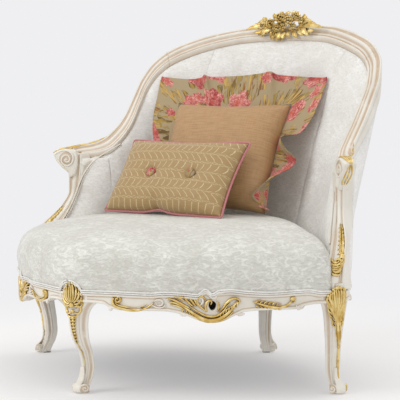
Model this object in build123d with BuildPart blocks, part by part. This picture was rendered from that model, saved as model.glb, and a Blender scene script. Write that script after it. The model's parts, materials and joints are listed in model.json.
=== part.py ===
from build123d import *
import os
from math import atan2, cos, degrees, hypot, pi, radians, sin, sqrt, tan

# Corner bergere on a bowed diamond plan, in millimetres, +Z up. The origin is on the floor at the middle
# of the chair's box. The front corner points to -Y, the crest to +Y, and the frame mirrors about X = 0.

# Seat plan, from corner to corner of the show rails
seat_width = 1154
seat_depth = 920
seat_y = -45.4
side_corner_lead = 12
front_bow = 76
back_bow = 98

# Seat rails
rail_thick = 34
rail_low = 246
rail_top = 282
rail_rebate = 9
frame_top = 302
cartouche_drop = 39
back_drop_share = 0.3
pierce_along_share = 0.52
pierce_height = 253
pierce_half_width = 11
pierce_half_height = 15
end_rise = 6
bead_height = 7
bead_proud = 3
ledge_width = 14
ledge_height = 8
ledge_stop = 66
tenon_thick = 10
tenon_height = 26
tenon_stop = 9
tenon_side_stop = 18
tenon_inset = 13

# Corner posts that the legs end in
post_half_width = 23
side_post_half_width = 40
post_depth = 46
post_low = 244

# Legs
leg_knee_height = 250
ankle_half = 23.5
knee_half = 38
knee_reach = 36
toe_reach = 36
back_ankle_inset = 36
back_knee_reach = 8
back_toe_reach = 22
volute_radius = 13
volute_length = 40
leg_corner_round = 7
knee_turn = 50
toe_turn = 27
side_leg_turn = 22
front_ankle_inset = 72
side_ankle_inset = 61
side_knee_reach = 34
sole_share = 0.35
glide_height = 3
glide_radius = 12
glide_nail_radius = 1.5
glide_nail_length = 14

# Fan of upright planes that the arms and the back are laid out on
fan_y = 74.6
arm_height = 624
crest_height = 1000
wrap_radius = 500
joint_angle = 38
lip_wide = 28
lip_narrow = 15
lip_fall_arm = 13
lip_fall_crest = 24
climb_share = 0.75
climb_step = 2
lip_turn_start = 16
lip_turn_end = 46
back_slope_out = 20
back_slope_up = 12
rail_side = 34
lip_side = 13

# Arm stumps
stump_lean_in = 67
stump_lean_back = 98
stump_depth = 46
scroll_radius = 14
scroll_width = 34
scroll_turn = 34
scroll_reach = 38
scroll_forward = 5
scroll_height = 600
scroll_tip = 5

# Upholstery of the arms and back
pad_top_share = 0.4
pad_base_thick = 40
pad_base_inset = 30
pad_crown = 16
pad_edge_share = 0.25
seam_gap = 1.2
start_angle = -10
seam_angle = 54
cover_thick = 3
cover_bulge = 6
cover_top_share = 0.06
stump_clear_angle = 0.3
post_out = 8
post_outer_share = 0.8
post_inner_share = 0.52
bar_start_angle = -4.5
arm_bar_angles = (3, 16, 28)
back_bar_angles = (57, 73)
strap_top_share = 0.03
strap_rise_share = 0.996
strap_angles = (14, 26, 52, 64, 76)
post_width = 42
post_thick = 18
shoulder_post_angle = 40
tack_bar_height = 26
tack_bar_low = 352
strap_width = 50
strap_thick = 1.5

# Seat filling
seat_crown_height = 441
seat_bulge = 8
seat_back_inset = 88
seat_back_lean = 2
seat_roll = 4
roll_stop = 46
seat_skin = 3
canvas_thick = 1.5
cloth_thick = 0.8
canvas_top = 364
canvas_flange_inset = 12
canvas_base_inset = 40
canvas_corner_inset = 20
canvas_top_share = 0.66
notch_front_angle = 3.6
notch_back_angle = 9.2
notch_in = 65
notch_along = 24
dome_y = 230
web_width = 58
web_thick = 2
web_clear = 2
web_pitch = 112
web_row_counts = (-2, -1, 0, 1, 2)
web_column_counts = (-3, -2, -1, 0, 1, 2, 3)
spring_pitch = 122
spring_radius = 32
spring_wire = 3.4
spring_turns = 5
spring_tilt_share = 1 / 6
spring_spots = ((-1, -1), (0, -1), (1, -1), (-2, 0), (-1, 0), (0, 0), (1, 0), (2, 0), (-1, 1), (0, 1), (1, 1))

# Loose cushions
square_half_width = 198
square_half_height = 182
square_thick = 100
square_flange = 95
flange_thick = 3
flange_wave = 9
flange_waves = 7
square_lean = 28
square_turn = 8
cushion_draw = 14
flange_tuck = 120
flange_curl = -12
flange_clear = 0.8
square_middle_x = -78
square_middle_y = 255.6
square_middle_z = 607
lumbar_half_width = 222
lumbar_half_height = 124
lumbar_thick = 80
lumbar_lean = 34
lumbar_turn = 0
lumbar_middle_x = -126
lumbar_middle_y = 100
lumbar_middle_z = 550.9
piping_width = 6
button_radius = 15
button_thick = 7
button_spread = 76
button_side = 10
button_drop = 8
tuft_depth = 12

# Carving
carve_thick = 8
knee_carve = 5
leaf_half = 20
leaf_low = 196
stump_carve = 5
acanthus_half = 22
acanthus_sway = 50
acanthus_rise = 130
spray_half = 155
spray_rise = 54
spray_radius = 427
spray_thick = 29
bloom_radius = 15
bloom_thick = 7

# Fasteners and fits
screw_inset = 22
screw_grip = 18
screw_radius = 2.4
screw_head_radius = 4.6
screw_head_height = 3
screw_length = 42
dowel_radius = 5
dowel_length = 44
tack_radius = 4
tack_height = 1.2
tack_shank_radius = 0.9
tack_shank_length = 6
block_length = 120
block_depth = 44
block_height = 30
gap = 0.3
overrun = 5

os.makedirs("parts", exist_ok=True)
finished = {}


def keep(name, part):
    """Label a finished piece, write it and remember it for its mirror twin."""
    part.label = name
    export_step(part, f"parts/{name}.step")
    finished[name] = part


# Plan of the seat frame: four rails, each one arc from corner to corner
front_corner = (0, seat_y - seat_depth / 2)
right_corner = (seat_width / 2, seat_y - side_corner_lead)
back_corner = (0, seat_y + seat_depth / 2)


def arc_of(start, end, bow):
    """Centre, radius and end angles of the arc that bows to the right of start to end."""
    run_x, run_y = end[0] - start[0], end[1] - start[1]
    chord = hypot(run_x, run_y)
    radius = (chord**2 / 4 + bow**2) / (2 * bow)
    out_x, out_y = run_y / chord, -run_x / chord
    middle_x, middle_y = (start[0] + end[0]) / 2, (start[1] + end[1]) / 2
    centre = (middle_x - out_x * (radius - bow), middle_y - out_y * (radius - bow))
    first = degrees(atan2(start[1] - centre[1], start[0] - centre[0]))
    last = degrees(atan2(end[1] - centre[1], end[0] - centre[0]))
    return centre, radius, first, last


front_arc = arc_of(front_corner, right_corner, front_bow)
back_arc = arc_of(right_corner, back_corner, back_bow)


def on_arc(arc, angle, outward=0):
    """Point of an arc at an angle, moved outward."""
    (centre_x, centre_y), radius, _, _ = arc
    return (
        centre_x + (radius + outward) * cos(radians(angle)),
        centre_y + (radius + outward) * sin(radians(angle)),
    )


def band(arc, outer, inner, stop=0, side_stop=0):
    """Edges of a strip that follows an arc, from outer to inner, held back at its ends, more at the side."""
    _, radius, first, last = arc
    start, end = first + degrees(stop / radius), last - degrees(stop / radius)
    if arc is back_arc:
        start += degrees(side_stop / radius)
    else:
        end -= degrees(side_stop / radius)
    middle = (start + end) / 2
    with BuildLine() as strip:
        ThreePointArc(on_arc(arc, start, outer), on_arc(arc, middle, outer), on_arc(arc, end, outer))
        Line(on_arc(arc, end, outer), on_arc(arc, end, inner))
        ThreePointArc(on_arc(arc, end, inner), on_arc(arc, middle, inner), on_arc(arc, start, inner))
        Line(on_arc(arc, start, inner), on_arc(arc, start, outer))
    return strip.edges()


def chord_plane(start, end):
    """Upright plane on a rail's chord: x runs along the chord, y is height, z points outward."""
    run_x, run_y = end[0] - start[0], end[1] - start[1]
    return Plane(origin=(start[0], start[1], 0), x_dir=(run_x, run_y, 0), z_dir=(run_y, -run_x, 0))


def line_x(arc, outward):
    """Where a circle about an arc's centre meets the mirror plane, on the arc's own side."""
    (centre_x, centre_y), radius, _, last = arc
    reach = sqrt((radius + outward) ** 2 - centre_x**2)
    return (0, centre_y + reach) if arc is back_arc else (0, centre_y - reach)


def outline(front_out, back_out, share=1, skin=0, middle_y=seat_y):
    """Seat outline: front and back arcs joined round each side's stump, drawn in by a skin and scaled."""
    front_end = front_arc[3] - notch_front_angle
    back_start = back_arc[2] + notch_back_angle
    points = [
        line_x(front_arc, front_out - skin),
        on_arc(front_arc, (front_arc[2] + front_end) / 2, front_out - skin),
        on_arc(front_arc, front_end, front_out - skin),
        (right_corner[0] - notch_in - skin, right_corner[1] + notch_along - skin),
        on_arc(back_arc, back_start, back_out - skin),
        on_arc(back_arc, (back_start + back_arc[3]) / 2, back_out - skin),
        line_x(back_arc, back_out - skin),
    ]
    low, front_mid, front_far, corner, back_near, back_mid, high = [
        (x * share, middle_y + (y - middle_y) * share) for x, y in points
    ]
    with BuildLine() as ring:
        ThreePointArc(low, front_mid, front_far)
        Polyline(front_far, corner, back_near)
        ThreePointArc(back_near, back_mid, high)
        mirror(about=Plane.YZ)
    return ring.edges()


def slices(rows, middle_y):
    """Ruled solid through seat outlines: each row has a height, two outward moves, a scale and a skin."""
    with BuildPart() as block:
        for height, front_out, back_out, share, skin in rows:
            with BuildSketch(Plane.XY.offset(height)):
                make_face(outline(front_out, back_out, share, skin, middle_y))
        loft(ruled=True)
    return block.part


# Lower edge of a rail: share along the chord, share of the end rise, share of the drop
rail_edge_shares = (
    (-0.04, 1.0, 0.0),
    (0.10, 1.0, 0.0),
    (0.20, -1.0, 0.04),
    (0.35, -1.0, 0.06),
    (0.44, -0.5, 0.55),
    (0.54, 0.0, 1.0),
    (0.63, -0.5, 0.42),
    (0.72, -0.5, 0.0),
    (0.84, 0.0, 0.0),
    (0.93, 1.2, 0.0),
    (1.04, 1.2, 0.0),
)


def rail_window(start, end, drop, lift=0):
    """Edges of a rail's face on its chord plane, from its shaped lower edge to its top, shrunk by lift."""
    chord = hypot(end[0] - start[0], end[1] - start[1])
    points = [
        (along * chord, rail_low + lift + rise * end_rise - fall * drop)
        for along, rise, fall in rail_edge_shares
    ]
    with BuildLine() as window:
        Spline(*points)
        Polyline(points[-1], (points[-1][0], rail_top - lift), (points[0][0], rail_top - lift), points[0])
    return window.edges()


def post_outline(corner, grow=0, ahead=0):
    """Edges of a corner post: two faces along the rails, which can be moved ahead, and a flat back."""
    if corner == right_corner:
        half, turns, inward = side_post_half_width, (front_arc[3] - 90, back_arc[2] + 90), (-1, 0)
    elif corner == front_corner:
        half, turns, inward = post_half_width, (front_arc[2] + 90, 90 - front_arc[2]), (0, 1)
    else:
        half, turns, inward = post_half_width, (back_arc[3] - 90, 270 - back_arc[3]), (0, -1)
    x, y = corner
    ends = [((half + grow) * cos(radians(turn)), (half + grow) * sin(radians(turn))) for turn in turns]
    depth = post_depth + grow
    apex = (x - inward[0] * (grow + ahead), y - inward[1] * (grow + ahead))
    front = [(apex[0] + end_x, apex[1] + end_y) for end_x, end_y in ends]
    back = [(x + inward[0] * depth + end_x * abs(inward[1]), y + inward[1] * depth + end_y * abs(inward[0]))
            for end_x, end_y in ends]
    with BuildLine() as post:
        Polyline(apex, front[0], back[0], back[1], front[1], close=True)
    return post.edges()


def drill(plane, radius, length):
    """Round bar or cutter that starts on a plane and runs along its z."""
    with BuildPart() as bar:
        with BuildSketch(plane):
            Circle(radius)
        extrude(amount=length)
    return bar.part


# Screws through the corner blocks, each square to the rail that it enters
block_low = rail_low + bead_height + ledge_height + 2 * web_thick + web_clear
screw_z = block_low + block_height / 2


def screw_plane(arc, from_start):
    """Where a screw's head sits, with z along the screw."""
    _, radius, first, last = arc
    half = side_post_half_width if (arc is back_arc) == from_start else post_half_width
    away = degrees((half + screw_inset) / radius)
    angle = first + away if from_start else last - away
    x, y = on_arc(arc, angle, -rail_thick - screw_grip)
    return Plane(origin=(x, y, screw_z), z_dir=(cos(radians(angle)), sin(radians(angle)), 0))


screw_planes = {
    "front_right_rail": [screw_plane(front_arc, True), screw_plane(front_arc, False)],
    "back_right_rail": [screw_plane(back_arc, True), screw_plane(back_arc, False)],
}
rails = {
    "front_right_rail": (front_corner, right_corner, front_arc, cartouche_drop),
    "back_right_rail": (right_corner, back_corner, back_arc, cartouche_drop * back_drop_share),
}

# Tacks under the ledge hold the dust cover
tack_angle_shares = (0.14, 0.32, 0.5, 0.68, 0.86)
ledge_low = rail_low + bead_height
cloth_low = ledge_low - gap - cloth_thick


def tack_planes(arc):
    """Heads of the tacks along a rail's ledge, with z up into the wood."""
    _, _, first, last = arc
    ledge_middle = -rail_thick - ledge_width / 2
    spots = [on_arc(arc, first + (last - first) * share, ledge_middle) for share in tack_angle_shares]
    return [Plane(origin=(x, y, cloth_low - tack_height), z_dir=(0, 0, 1)) for x, y in spots]


# Relief on a front rail's face, in shares of the chord and of the height up the rail
cartouche_shares = (
    (0.345, 0.55), (0.38, 0.82), (0.435, 1.0), (0.52, 1.0), (0.60, 1.0), (0.64, 0.85), (0.63, 0.6),
    (0.61, 0.3), (0.57, 0.06), (0.53, -0.02), (0.49, 0.06), (0.45, 0.24), (0.41, 0.22), (0.375, 0.36),
)
scroll_shares = (
    (0.115, 0.95), (0.15, 1.0), (0.155, 0.75), (0.2, 0.6), (0.26, 0.66), (0.305, 0.62), (0.3, 0.42),
    (0.23, 0.36), (0.16, 0.42), (0.12, 0.62),
)
ear_shares = (
    (0.68, 0.5), (0.7, 0.85), (0.74, 0.8), (0.77, 0.72), (0.8, 0.95), (0.84, 0.95), (0.85, 0.7), (0.86, 0.5),
    (0.8, 0.5), (0.73, 0.42),
)


def relief(side, chord, arc, drop, height):
    """Carved bosses on a rail's face: flat-topped shapes that follow the rail's bow."""
    low = rail_low - drop
    with BuildPart() as bosses:
        with BuildSketch(Plane.XY.offset(low)):
            make_face(band(arc, carve_thick, -bead_proud))
        extrude(amount=rail_top - low)
        with BuildSketch(side):
            for shares in (cartouche_shares, scroll_shares, ear_shares):
                with BuildLine():
                    Polyline(*[(chord * x, low + (height - low) * y) for x, y in shares], close=True)
                make_face()
        extrude(amount=seat_width, both=True, mode=Mode.INTERSECT)
    return bosses.part


# Seat rails, with a bead along both edges, a rebate for the cover, a ledge for the webbing and tenons
tenon_low = frame_top - overrun - tenon_height
for rail_name, (start, end, arc, drop) in rails.items():
    side = chord_plane(start, end)
    lowest = rail_low - drop - end_rise * 2

    with BuildPart() as recess:
        with BuildSketch(Plane.XY.offset(lowest)):
            make_face(band(arc, bead_proud + overrun, 0))
        extrude(amount=rail_top - lowest)
        with BuildSketch(side):
            make_face(rail_window(start, end, drop, bead_height))
        extrude(amount=seat_width, both=True, mode=Mode.INTERSECT)

    with BuildPart() as rail:
        with BuildSketch(Plane.XY.offset(lowest)):
            make_face(band(arc, bead_proud, -rail_thick))
        extrude(amount=rail_top - lowest)
        with BuildSketch(side):
            make_face(rail_window(start, end, drop))
        extrude(amount=seat_width, both=True, mode=Mode.INTERSECT)
        add(recess.part, mode=Mode.SUBTRACT)
        with BuildSketch(Plane.XY.offset(rail_top - overrun)):
            make_face(band(arc, -rail_rebate, -rail_thick))
        extrude(amount=frame_top - rail_top + overrun)
        with BuildSketch(Plane.XY.offset(ledge_low)):
            make_face(band(arc, -rail_thick + overrun, -rail_thick - ledge_width, ledge_stop))
        extrude(amount=ledge_height)
        for corner in (start, end):
            with BuildSketch(Plane.XY.offset(lowest - overrun)):
                make_face(post_outline(corner, gap, carve_thick))
            extrude(amount=frame_top - lowest + 2 * overrun, mode=Mode.SUBTRACT)
        with BuildSketch(Plane.XY.offset(tenon_low)):
            make_face(band(arc, -tenon_inset, -tenon_inset - tenon_thick, tenon_stop, tenon_side_stop))
        extrude(amount=tenon_height)
        for head in screw_planes[rail_name]:
            add(drill(head, screw_radius + gap, screw_length + gap), mode=Mode.SUBTRACT)
        for head in tack_planes(arc):
            add(drill(head, tack_shank_radius + gap, tack_shank_length + gap), mode=Mode.SUBTRACT)
        if drop == cartouche_drop:
            chord = hypot(end[0] - start[0], end[1] - start[1])
            add(relief(side, chord, arc, drop, rail_top - gap))
            with BuildSketch(side):
                with Locations((pierce_along_share * chord, pierce_height)):
                    Ellipse(pierce_half_width, pierce_half_height)
            extrude(amount=seat_width / 2, mode=Mode.SUBTRACT)
    keep(rail_name, rail.part)

# Cabriole legs: height share, growth share from ankle to knee, share of the knee's reach, share of the toe's
leg_shares = (
    (0.012, -0.1, 0.0, 0.62),
    (0.08, -0.15, 0.0, 0.42),
    (0.17, -0.1, 0.0, 0.12),
    (0.27, 0.0, 0.0, 0.0),
    (0.43, 0.08, 0.09, 0.0),
    (0.54, 0.2, 0.24, 0.0),
    (0.66, 0.44, 0.46, 0.0),
    (0.77, 0.66, 0.68, 0.0),
    (0.88, 0.88, 0.88, 0.0),
    (1.0, 1.0, 1.0, 0.0),
)
# The front leg keeps its knee full further down
front_leg_shares = leg_shares[:4] + (
    (0.43, 0.12, 0.23, 0.0),
    (0.54, 0.42, 0.65, 0.0),
    (0.66, 0.64, 0.92, 0.0),
    (0.77, 0.8, 1.0, 0.0),
    (0.88, 0.9, 1.0, 0.0),
    (1.0, 1.0, 1.0, 0.0),
)


def leg_levels(rows, ankle, arris, knee_way, knee_out, toe_way, toe_out):
    """Section planes of a leg, each with x towards the arris, and the section's half diagonal."""
    levels = []
    for height, growth, knee, toe in rows:
        x = ankle[0] + knee_out * knee * cos(radians(knee_way)) + toe_out * toe * cos(radians(toe_way))
        y = ankle[1] + knee_out * knee * sin(radians(knee_way)) + toe_out * toe * sin(radians(toe_way))
        z = max(glide_height, height * leg_knee_height)
        plane = Plane(origin=(x, y, z), x_dir=(cos(radians(arris)), sin(radians(arris)), 0), z_dir=(0, 0, 1))
        levels.append((plane, ankle_half + growth * (knee_half - ankle_half)))
    return levels


def leg_loft(levels, grow=0):
    """Smooth shaft through a leg's sections, each a square on its corner with rounded edges."""
    with BuildPart() as shaft:
        for plane, half in levels:
            with BuildSketch(plane):
                Rectangle((half + grow) * sqrt(2), (half + grow) * sqrt(2), rotation=45)
                fillet(vertices(), leg_corner_round)
        loft()
    return shaft.part


# Leaf on each knee: shares of its half width and of its height
leaf_shares = ((0, 0), (0.35, 0.3), (0.6, 0.5), (0.95, 0.66), (0.8, 0.85), (1.0, 1.0))


def leaf(half, low, high, sway=0):
    """Edges of a pointed leaf that stands on its tip, its top swayed sideways."""
    right = [(half * x + sway * y, low + (high - low) * y) for x, y in leaf_shares]
    left = [(sway * y - half * x, low + (high - low) * y) for x, y in leaf_shares[:0:-1]]
    with BuildLine() as edge:
        Polyline(*right, *left, close=True)
    return edge.edges()


side_ankle = (
    right_corner[0] - side_ankle_inset * cos(radians(toe_turn)),
    right_corner[1] + side_ankle_inset * sin(radians(toe_turn)),
)
front_ankle = (0, front_corner[1] + front_ankle_inset)
back_ankle = (0, back_corner[1] - back_ankle_inset)
# Each leg: its corner and ankle, then the way and the reach of its arris, knee and toe
legs = {
    "front_leg": (front_corner, front_ankle, -90, (-90, knee_reach), (-90, toe_reach)),
    "right_leg": (
        right_corner, side_ankle, -side_leg_turn, (-knee_turn, side_knee_reach), (-toe_turn, toe_reach),
    ),
    "back_leg": (back_corner, back_ankle, 90, (90, back_knee_reach), (90, back_toe_reach)),
}
corner_arcs = {"front_leg": [front_arc], "right_leg": [front_arc, back_arc], "back_leg": [back_arc]}
leg_sections = {}
glide_planes = {}
for leg_name, (corner, ankle, arris, (knee_way, knee_out), (toe_way, toe_out)) in legs.items():
    rows = front_leg_shares if leg_name == "front_leg" else leg_shares
    leg_sections[leg_name] = leg_levels(rows, ankle, arris, knee_way, knee_out, toe_way, toe_out)
    out_x, out_y = cos(radians(toe_way)), sin(radians(toe_way))
    sole = (ankle[0] + toe_out * sole_share * out_x, ankle[1] + toe_out * sole_share * out_y)
    glide_planes[leg_name] = Plane(origin=(sole[0], sole[1], 0), z_dir=(0, 0, 1))
    toe = Plane(
        origin=(
            ankle[0] + toe_out * out_x + out_y * volute_length / 2,
            ankle[1] + toe_out * out_y - out_x * volute_length / 2,
            glide_height + volute_radius,
        ),
        z_dir=(-out_y, out_x, 0),
    )
    with BuildPart() as leg:
        add(leg_loft(leg_sections[leg_name]))
        with BuildSketch(Plane.XY.offset(post_low)):
            make_face(post_outline(corner))
        extrude(amount=frame_top - post_low)
        add(drill(toe, volute_radius, volute_length))
        with BuildPart(mode=Mode.PRIVATE) as knee_leaf:
            add(leg_loft(leg_sections[leg_name], knee_carve))
            with BuildSketch(Plane.XY.offset(post_low)):
                make_face(post_outline(corner, knee_carve))
            extrude(amount=rail_top - gap - post_low)
            facing = (cos(radians(arris)), sin(radians(arris)), 0)
            start = (corner[0] - facing[0] * post_depth / 2, corner[1] - facing[1] * post_depth / 2, 0)
            with BuildSketch(Plane(origin=start, x_dir=(-facing[1], facing[0], 0), z_dir=facing)):
                make_face(leaf(leaf_half, leaf_low, rail_top - gap))
            extrude(amount=seat_width, mode=Mode.INTERSECT)
        add(knee_leaf.part)
        for arc in corner_arcs[leg_name]:
            with BuildPart(mode=Mode.PRIVATE) as mortise:
                with BuildSketch(Plane.XY.offset(tenon_low - gap)):
                    hollow = (gap - tenon_inset, -tenon_inset - tenon_thick - gap)
                    make_face(band(arc, *hollow, tenon_stop - gap, tenon_side_stop))
                extrude(amount=tenon_height + 2 * gap)
            add(mortise.part, mode=Mode.SUBTRACT)
            if corner is not right_corner:
                add(mortise.part.mirror(Plane.YZ), mode=Mode.SUBTRACT)
        nail = drill(glide_planes[leg_name], glide_nail_radius + gap, glide_height + glide_nail_length + gap)
        add(nail, mode=Mode.SUBTRACT)
    keep(leg_name, leg.part)

# The fan: upright planes through a line behind the seat's middle, at angles from +X round to +Y
# Back and arm rail: angle, share of the wrap radius, share of the rise from the arms to the crest
wrap_shares = (
    (-4, 1.034, 0.0),
    (3, 0.965, 0.012),
    (8, 0.916, 0.043),
    (12, 0.902, 0.096),
    (16, 0.906, 0.165),
    (20, 0.921, 0.255),
    (25, 0.954, 0.423),
    (29, 0.982, 0.574),
    (33, 0.987, 0.691),
    (38, 0.968, 0.787),
    (44, 0.940, 0.856),
    (52, 0.898, 0.915),
    (60, 0.876, 0.955),
    (69, 0.868, 0.984),
    (80, 0.848, 0.997),
    (90, 0.838, 1.0),
)
wrap_angles = [angle for angle, _, _ in wrap_shares]


def between(rows, angle, column):
    """Straight-line value between the rows of a table whose first column is an angle."""
    if angle <= rows[0][0]:
        return rows[0][column]
    for low, high in zip(rows, rows[1:]):
        if angle <= high[0]:
            part = (angle - low[0]) / (high[0] - low[0])
            return low[column] + part * (high[column] - low[column])
    return rows[-1][column]


def fold(angle):
    """Angle on the right half that mirrors an angle on the left half."""
    return angle if angle <= 90 else 180 - angle


def fan_plane(angle):
    """Upright plane of the fan: x runs outward, y is height."""
    across, along = cos(radians(angle)), sin(radians(angle))
    return Plane(origin=(0, fan_y, 0), x_dir=(across, along, 0), z_dir=(along, -across, 0))


def fan_point(angle, radius, height):
    """Point in space at a radius and height on the fan's plane."""
    return (radius * cos(radians(angle)), fan_y + radius * sin(radians(angle)), height)


def bead(angle):
    """Radius and height of the rail's outer bead."""
    rise = crest_height - arm_height
    return wrap_radius * between(wrap_shares, angle, 1), arm_height + rise * between(wrap_shares, angle, 2)


def steepness(angle):
    """How much longer an upright cut through the climbing rail is than a square cut."""
    near, far = max(angle - climb_step, wrap_angles[0]), min(angle + climb_step, wrap_angles[-1])
    (radius, low), (_, high) = bead(near), bead(far)
    climb = (high - low) / (radius * radians(2 * climb_step))
    return sqrt(1 + (climb * climb_share) ** 2)


def lerp_angle(angle, first, last, low, high):
    """Value that runs from low to high between two angles."""
    part = min(max((angle - first) / (last - first), 0), 1)
    return low + part * (high - low)


def rail_corners(angle):
    """Rail section on the fan's plane: lip, bead, outer edge, outer foot, lip foot."""
    angle = fold(angle)
    radius, height = bead(angle)
    deep = steepness(angle)
    lip = radius - lerp_angle(angle, lip_turn_start, lip_turn_end, lip_wide, lip_narrow)
    lip_height = height - lerp_angle(angle, lip_turn_start, lip_turn_end, lip_fall_arm, lip_fall_crest)
    outer, outer_height = radius + back_slope_out, height + back_slope_up
    return [
        (lip, lip_height),
        (radius, height),
        (outer, outer_height),
        (outer, outer_height - rail_side * deep),
        (lip, lip_height - lip_side * deep),
    ]


def underside(angle, radius):
    """Height of the rail's flat underside at a radius."""
    _, _, _, (outer, outer_low), (lip, lip_low) = rail_corners(angle)
    return lip_low + (outer_low - lip_low) * (radius - lip) / (outer - lip)


def base_radius(angle, inset=0):
    """Radius from the fan's line to a curve set in from the outside of the back seat rail."""
    angle = radians(fold(angle))
    (centre_x, centre_y), radius, _, _ = back_arc
    to_x, to_y = -centre_x, fan_y - centre_y
    along = to_x * cos(angle) + to_y * sin(angle)
    return sqrt(along**2 - to_x**2 - to_y**2 + (radius - inset) ** 2) - along


# Back edge of the stump: angle of the fan, share of the stump's height
stump_back_shares = (
    (-10.5, 0.0),
    (-8.6, 0.15),
    (-7, 0.23),
    (-5.5, 0.31),
    (-2, 0.42),
    (0.5, 0.53),
    (1.5, 0.67),
)
stump_low = frame_top + gap
stump_top = arm_height - lip_fall_arm - lip_side - gap
stump_edge_angle = stump_back_shares[-1][0]


def layer(angle, base, top, low):
    """Two ends of an upright line in the wall: radius and height at its foot and under the rail."""
    plain = fold(angle)
    foot = (base_radius(plain, base), low)
    lip, outer = rail_corners(plain)[0][0], rail_corners(plain)[2][0]
    radius = lip + (outer - lip) * top
    head = (radius, underside(plain, radius) - gap)
    if plain > stump_edge_angle:
        return foot, head
    height = stump_low + (stump_top - stump_low) * between(stump_back_shares, plain - stump_clear_angle, 1)
    part = (height - low) / (head[1] - low)
    return foot, (foot[0] + (head[0] - foot[0]) * part, height)


def along(line, part, out=0):
    """Point part of the way up a line of the wall, moved outward."""
    (foot_radius, foot_height), (head_radius, head_height) = line
    radius = foot_radius + (head_radius - foot_radius) * part + out
    return radius, foot_height + (head_height - foot_height) * part


def fan_loft(angles, section):
    """Ruled solid through sections on the fan's planes."""
    with BuildPart() as wall:
        for angle in angles:
            with BuildSketch(fan_plane(angle)):
                with BuildLine():
                    Polyline(*section(angle), close=True)
                make_face()
        loft(ruled=True)
    return wall.part


def stations(first, last):
    """Angles from first to last with the rail's own stations between them, on either half."""
    own = sorted(set(wrap_angles) | {180 - angle for angle in wrap_angles})
    return [first] + [angle for angle in own if first + 0.5 < angle < last - 0.5] + [last]


# Dowels: up from each stump, along the rail at the joint over the shoulder, and across the crest's joint
def rail_middle(angle):
    """Middle of the rail's section, as a point in space."""
    corners = rail_corners(angle)
    radius = sum(corner[0] for corner in corners) / len(corners)
    height = sum(corner[1] for corner in corners) / len(corners)
    return Vector(*fan_point(angle, radius, height))


shoulder_way = (rail_middle(joint_angle + climb_step) - rail_middle(joint_angle - climb_step)).normalized()
shoulder_dowel = Plane(origin=rail_middle(joint_angle) - shoulder_way * dowel_length / 2, z_dir=shoulder_way)
crest_dowel = Plane(origin=rail_middle(90) - Vector(dowel_length / 2, 0, 0), z_dir=(1, 0, 0))

# Stump: height share, then for the front edge's outer and inner end the shares of its lean in and back
stump_shares = (
    (0.0, 0.0, 0.0, -0.31, -0.41),
    (0.15, -0.06, 0.10, -0.42, -0.28),
    (0.23, -0.12, 0.18, -0.67, 0.06),
    (0.31, -0.19, 0.31, -1.03, 0.43),
    (0.42, -0.49, 0.59, -1.27, 0.73),
    (0.53, -0.81, 0.83, -1.42, 0.91),
    (0.67, -1.0, 1.0, -1.54, 1.06),
    (0.86, -1.0, 1.0, -1.6, 1.14),
    (1.0, -0.96, 0.98, -1.61, 1.17),
)


def stump_corners(share, outer_in, outer_back, inner_in, inner_back):
    """Four corners of the stump's section: front outer, front inner, back inner, back outer."""
    x, y = right_corner
    outer = (x + outer_in * stump_lean_in, y + outer_back * stump_lean_back)
    inner = (x + inner_in * stump_lean_in, y + inner_back * stump_lean_back)
    rows = [(height, angle) for angle, height in stump_back_shares]
    angle = between(rows, share, 1)
    line = layer(stump_edge_angle + 1, cover_thick, 1, frame_top)
    wall = along(((base_radius(angle), stump_low), (line[1][0], stump_top)), share)[0]
    back = [fan_point(angle, radius, 0)[:2] for radius in (wall - stump_depth, wall)]
    return [outer, inner, back[0], back[1]]


def stump_loft(grow=0):
    """Stump through its sections, its front face moved forward by grow."""
    with BuildPart() as stump:
        for row in stump_shares:
            outer, inner, back_inner, back_outer = stump_corners(*row)
            run = Vector(outer[0] - inner[0], outer[1] - inner[1]).normalized()
            front = Vector(run.Y, -run.X) * grow
            with BuildSketch(Plane.XY.offset(stump_low + (stump_top - stump_low) * row[0])):
                with BuildLine():
                    Polyline(
                        (outer[0] + front.X + run.X * grow, outer[1] + front.Y + run.Y * grow),
                        (inner[0] + front.X, inner[1] + front.Y),
                        back_inner,
                        (back_outer[0] + run.X * grow, back_outer[1] + run.Y * grow),
                        close=True,
                    )
                make_face()
        loft(ruled=True)
    return stump.part


top_corners = stump_corners(*stump_shares[-1])
stump_dowel = Plane(
    origin=(
        sum(corner[0] for corner in top_corners) / len(top_corners),
        sum(corner[1] for corner in top_corners) / len(top_corners),
        stump_top - dowel_length / 2,
    ),
    z_dir=(0, 0, 1),
)

# Acanthus: shares of its half width and of its height
acanthus_shares = (
    (-0.7, 0.0), (-0.9, 0.22), (-0.5, 0.4), (-0.55, 0.6), (-0.2, 0.85), (0.0, 1.0), (0.3, 0.9), (0.4, 0.7),
    (0.9, 0.45), (0.95, 0.2), (1.0, 0.0),
)
# The acanthus at the stump's foot faces the same way as the corner of the leg below
acanthus_way = (cos(radians(side_leg_turn)), -sin(radians(side_leg_turn)), 0)
acanthus_plane = Plane(
    origin=(*right_corner, 0), x_dir=(-acanthus_way[1], acanthus_way[0], 0), z_dir=acanthus_way
)
with BuildPart() as acanthus:
    add(stump_loft(stump_carve))
    with BuildSketch(acanthus_plane):
        with BuildLine():
            Polyline(
                *[(acanthus_half * x + acanthus_sway * y, stump_low + acanthus_rise * y)
                  for x, y in acanthus_shares],
                close=True,
            )
        make_face()
    extrude(amount=seat_width, both=True, mode=Mode.INTERSECT)

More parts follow.
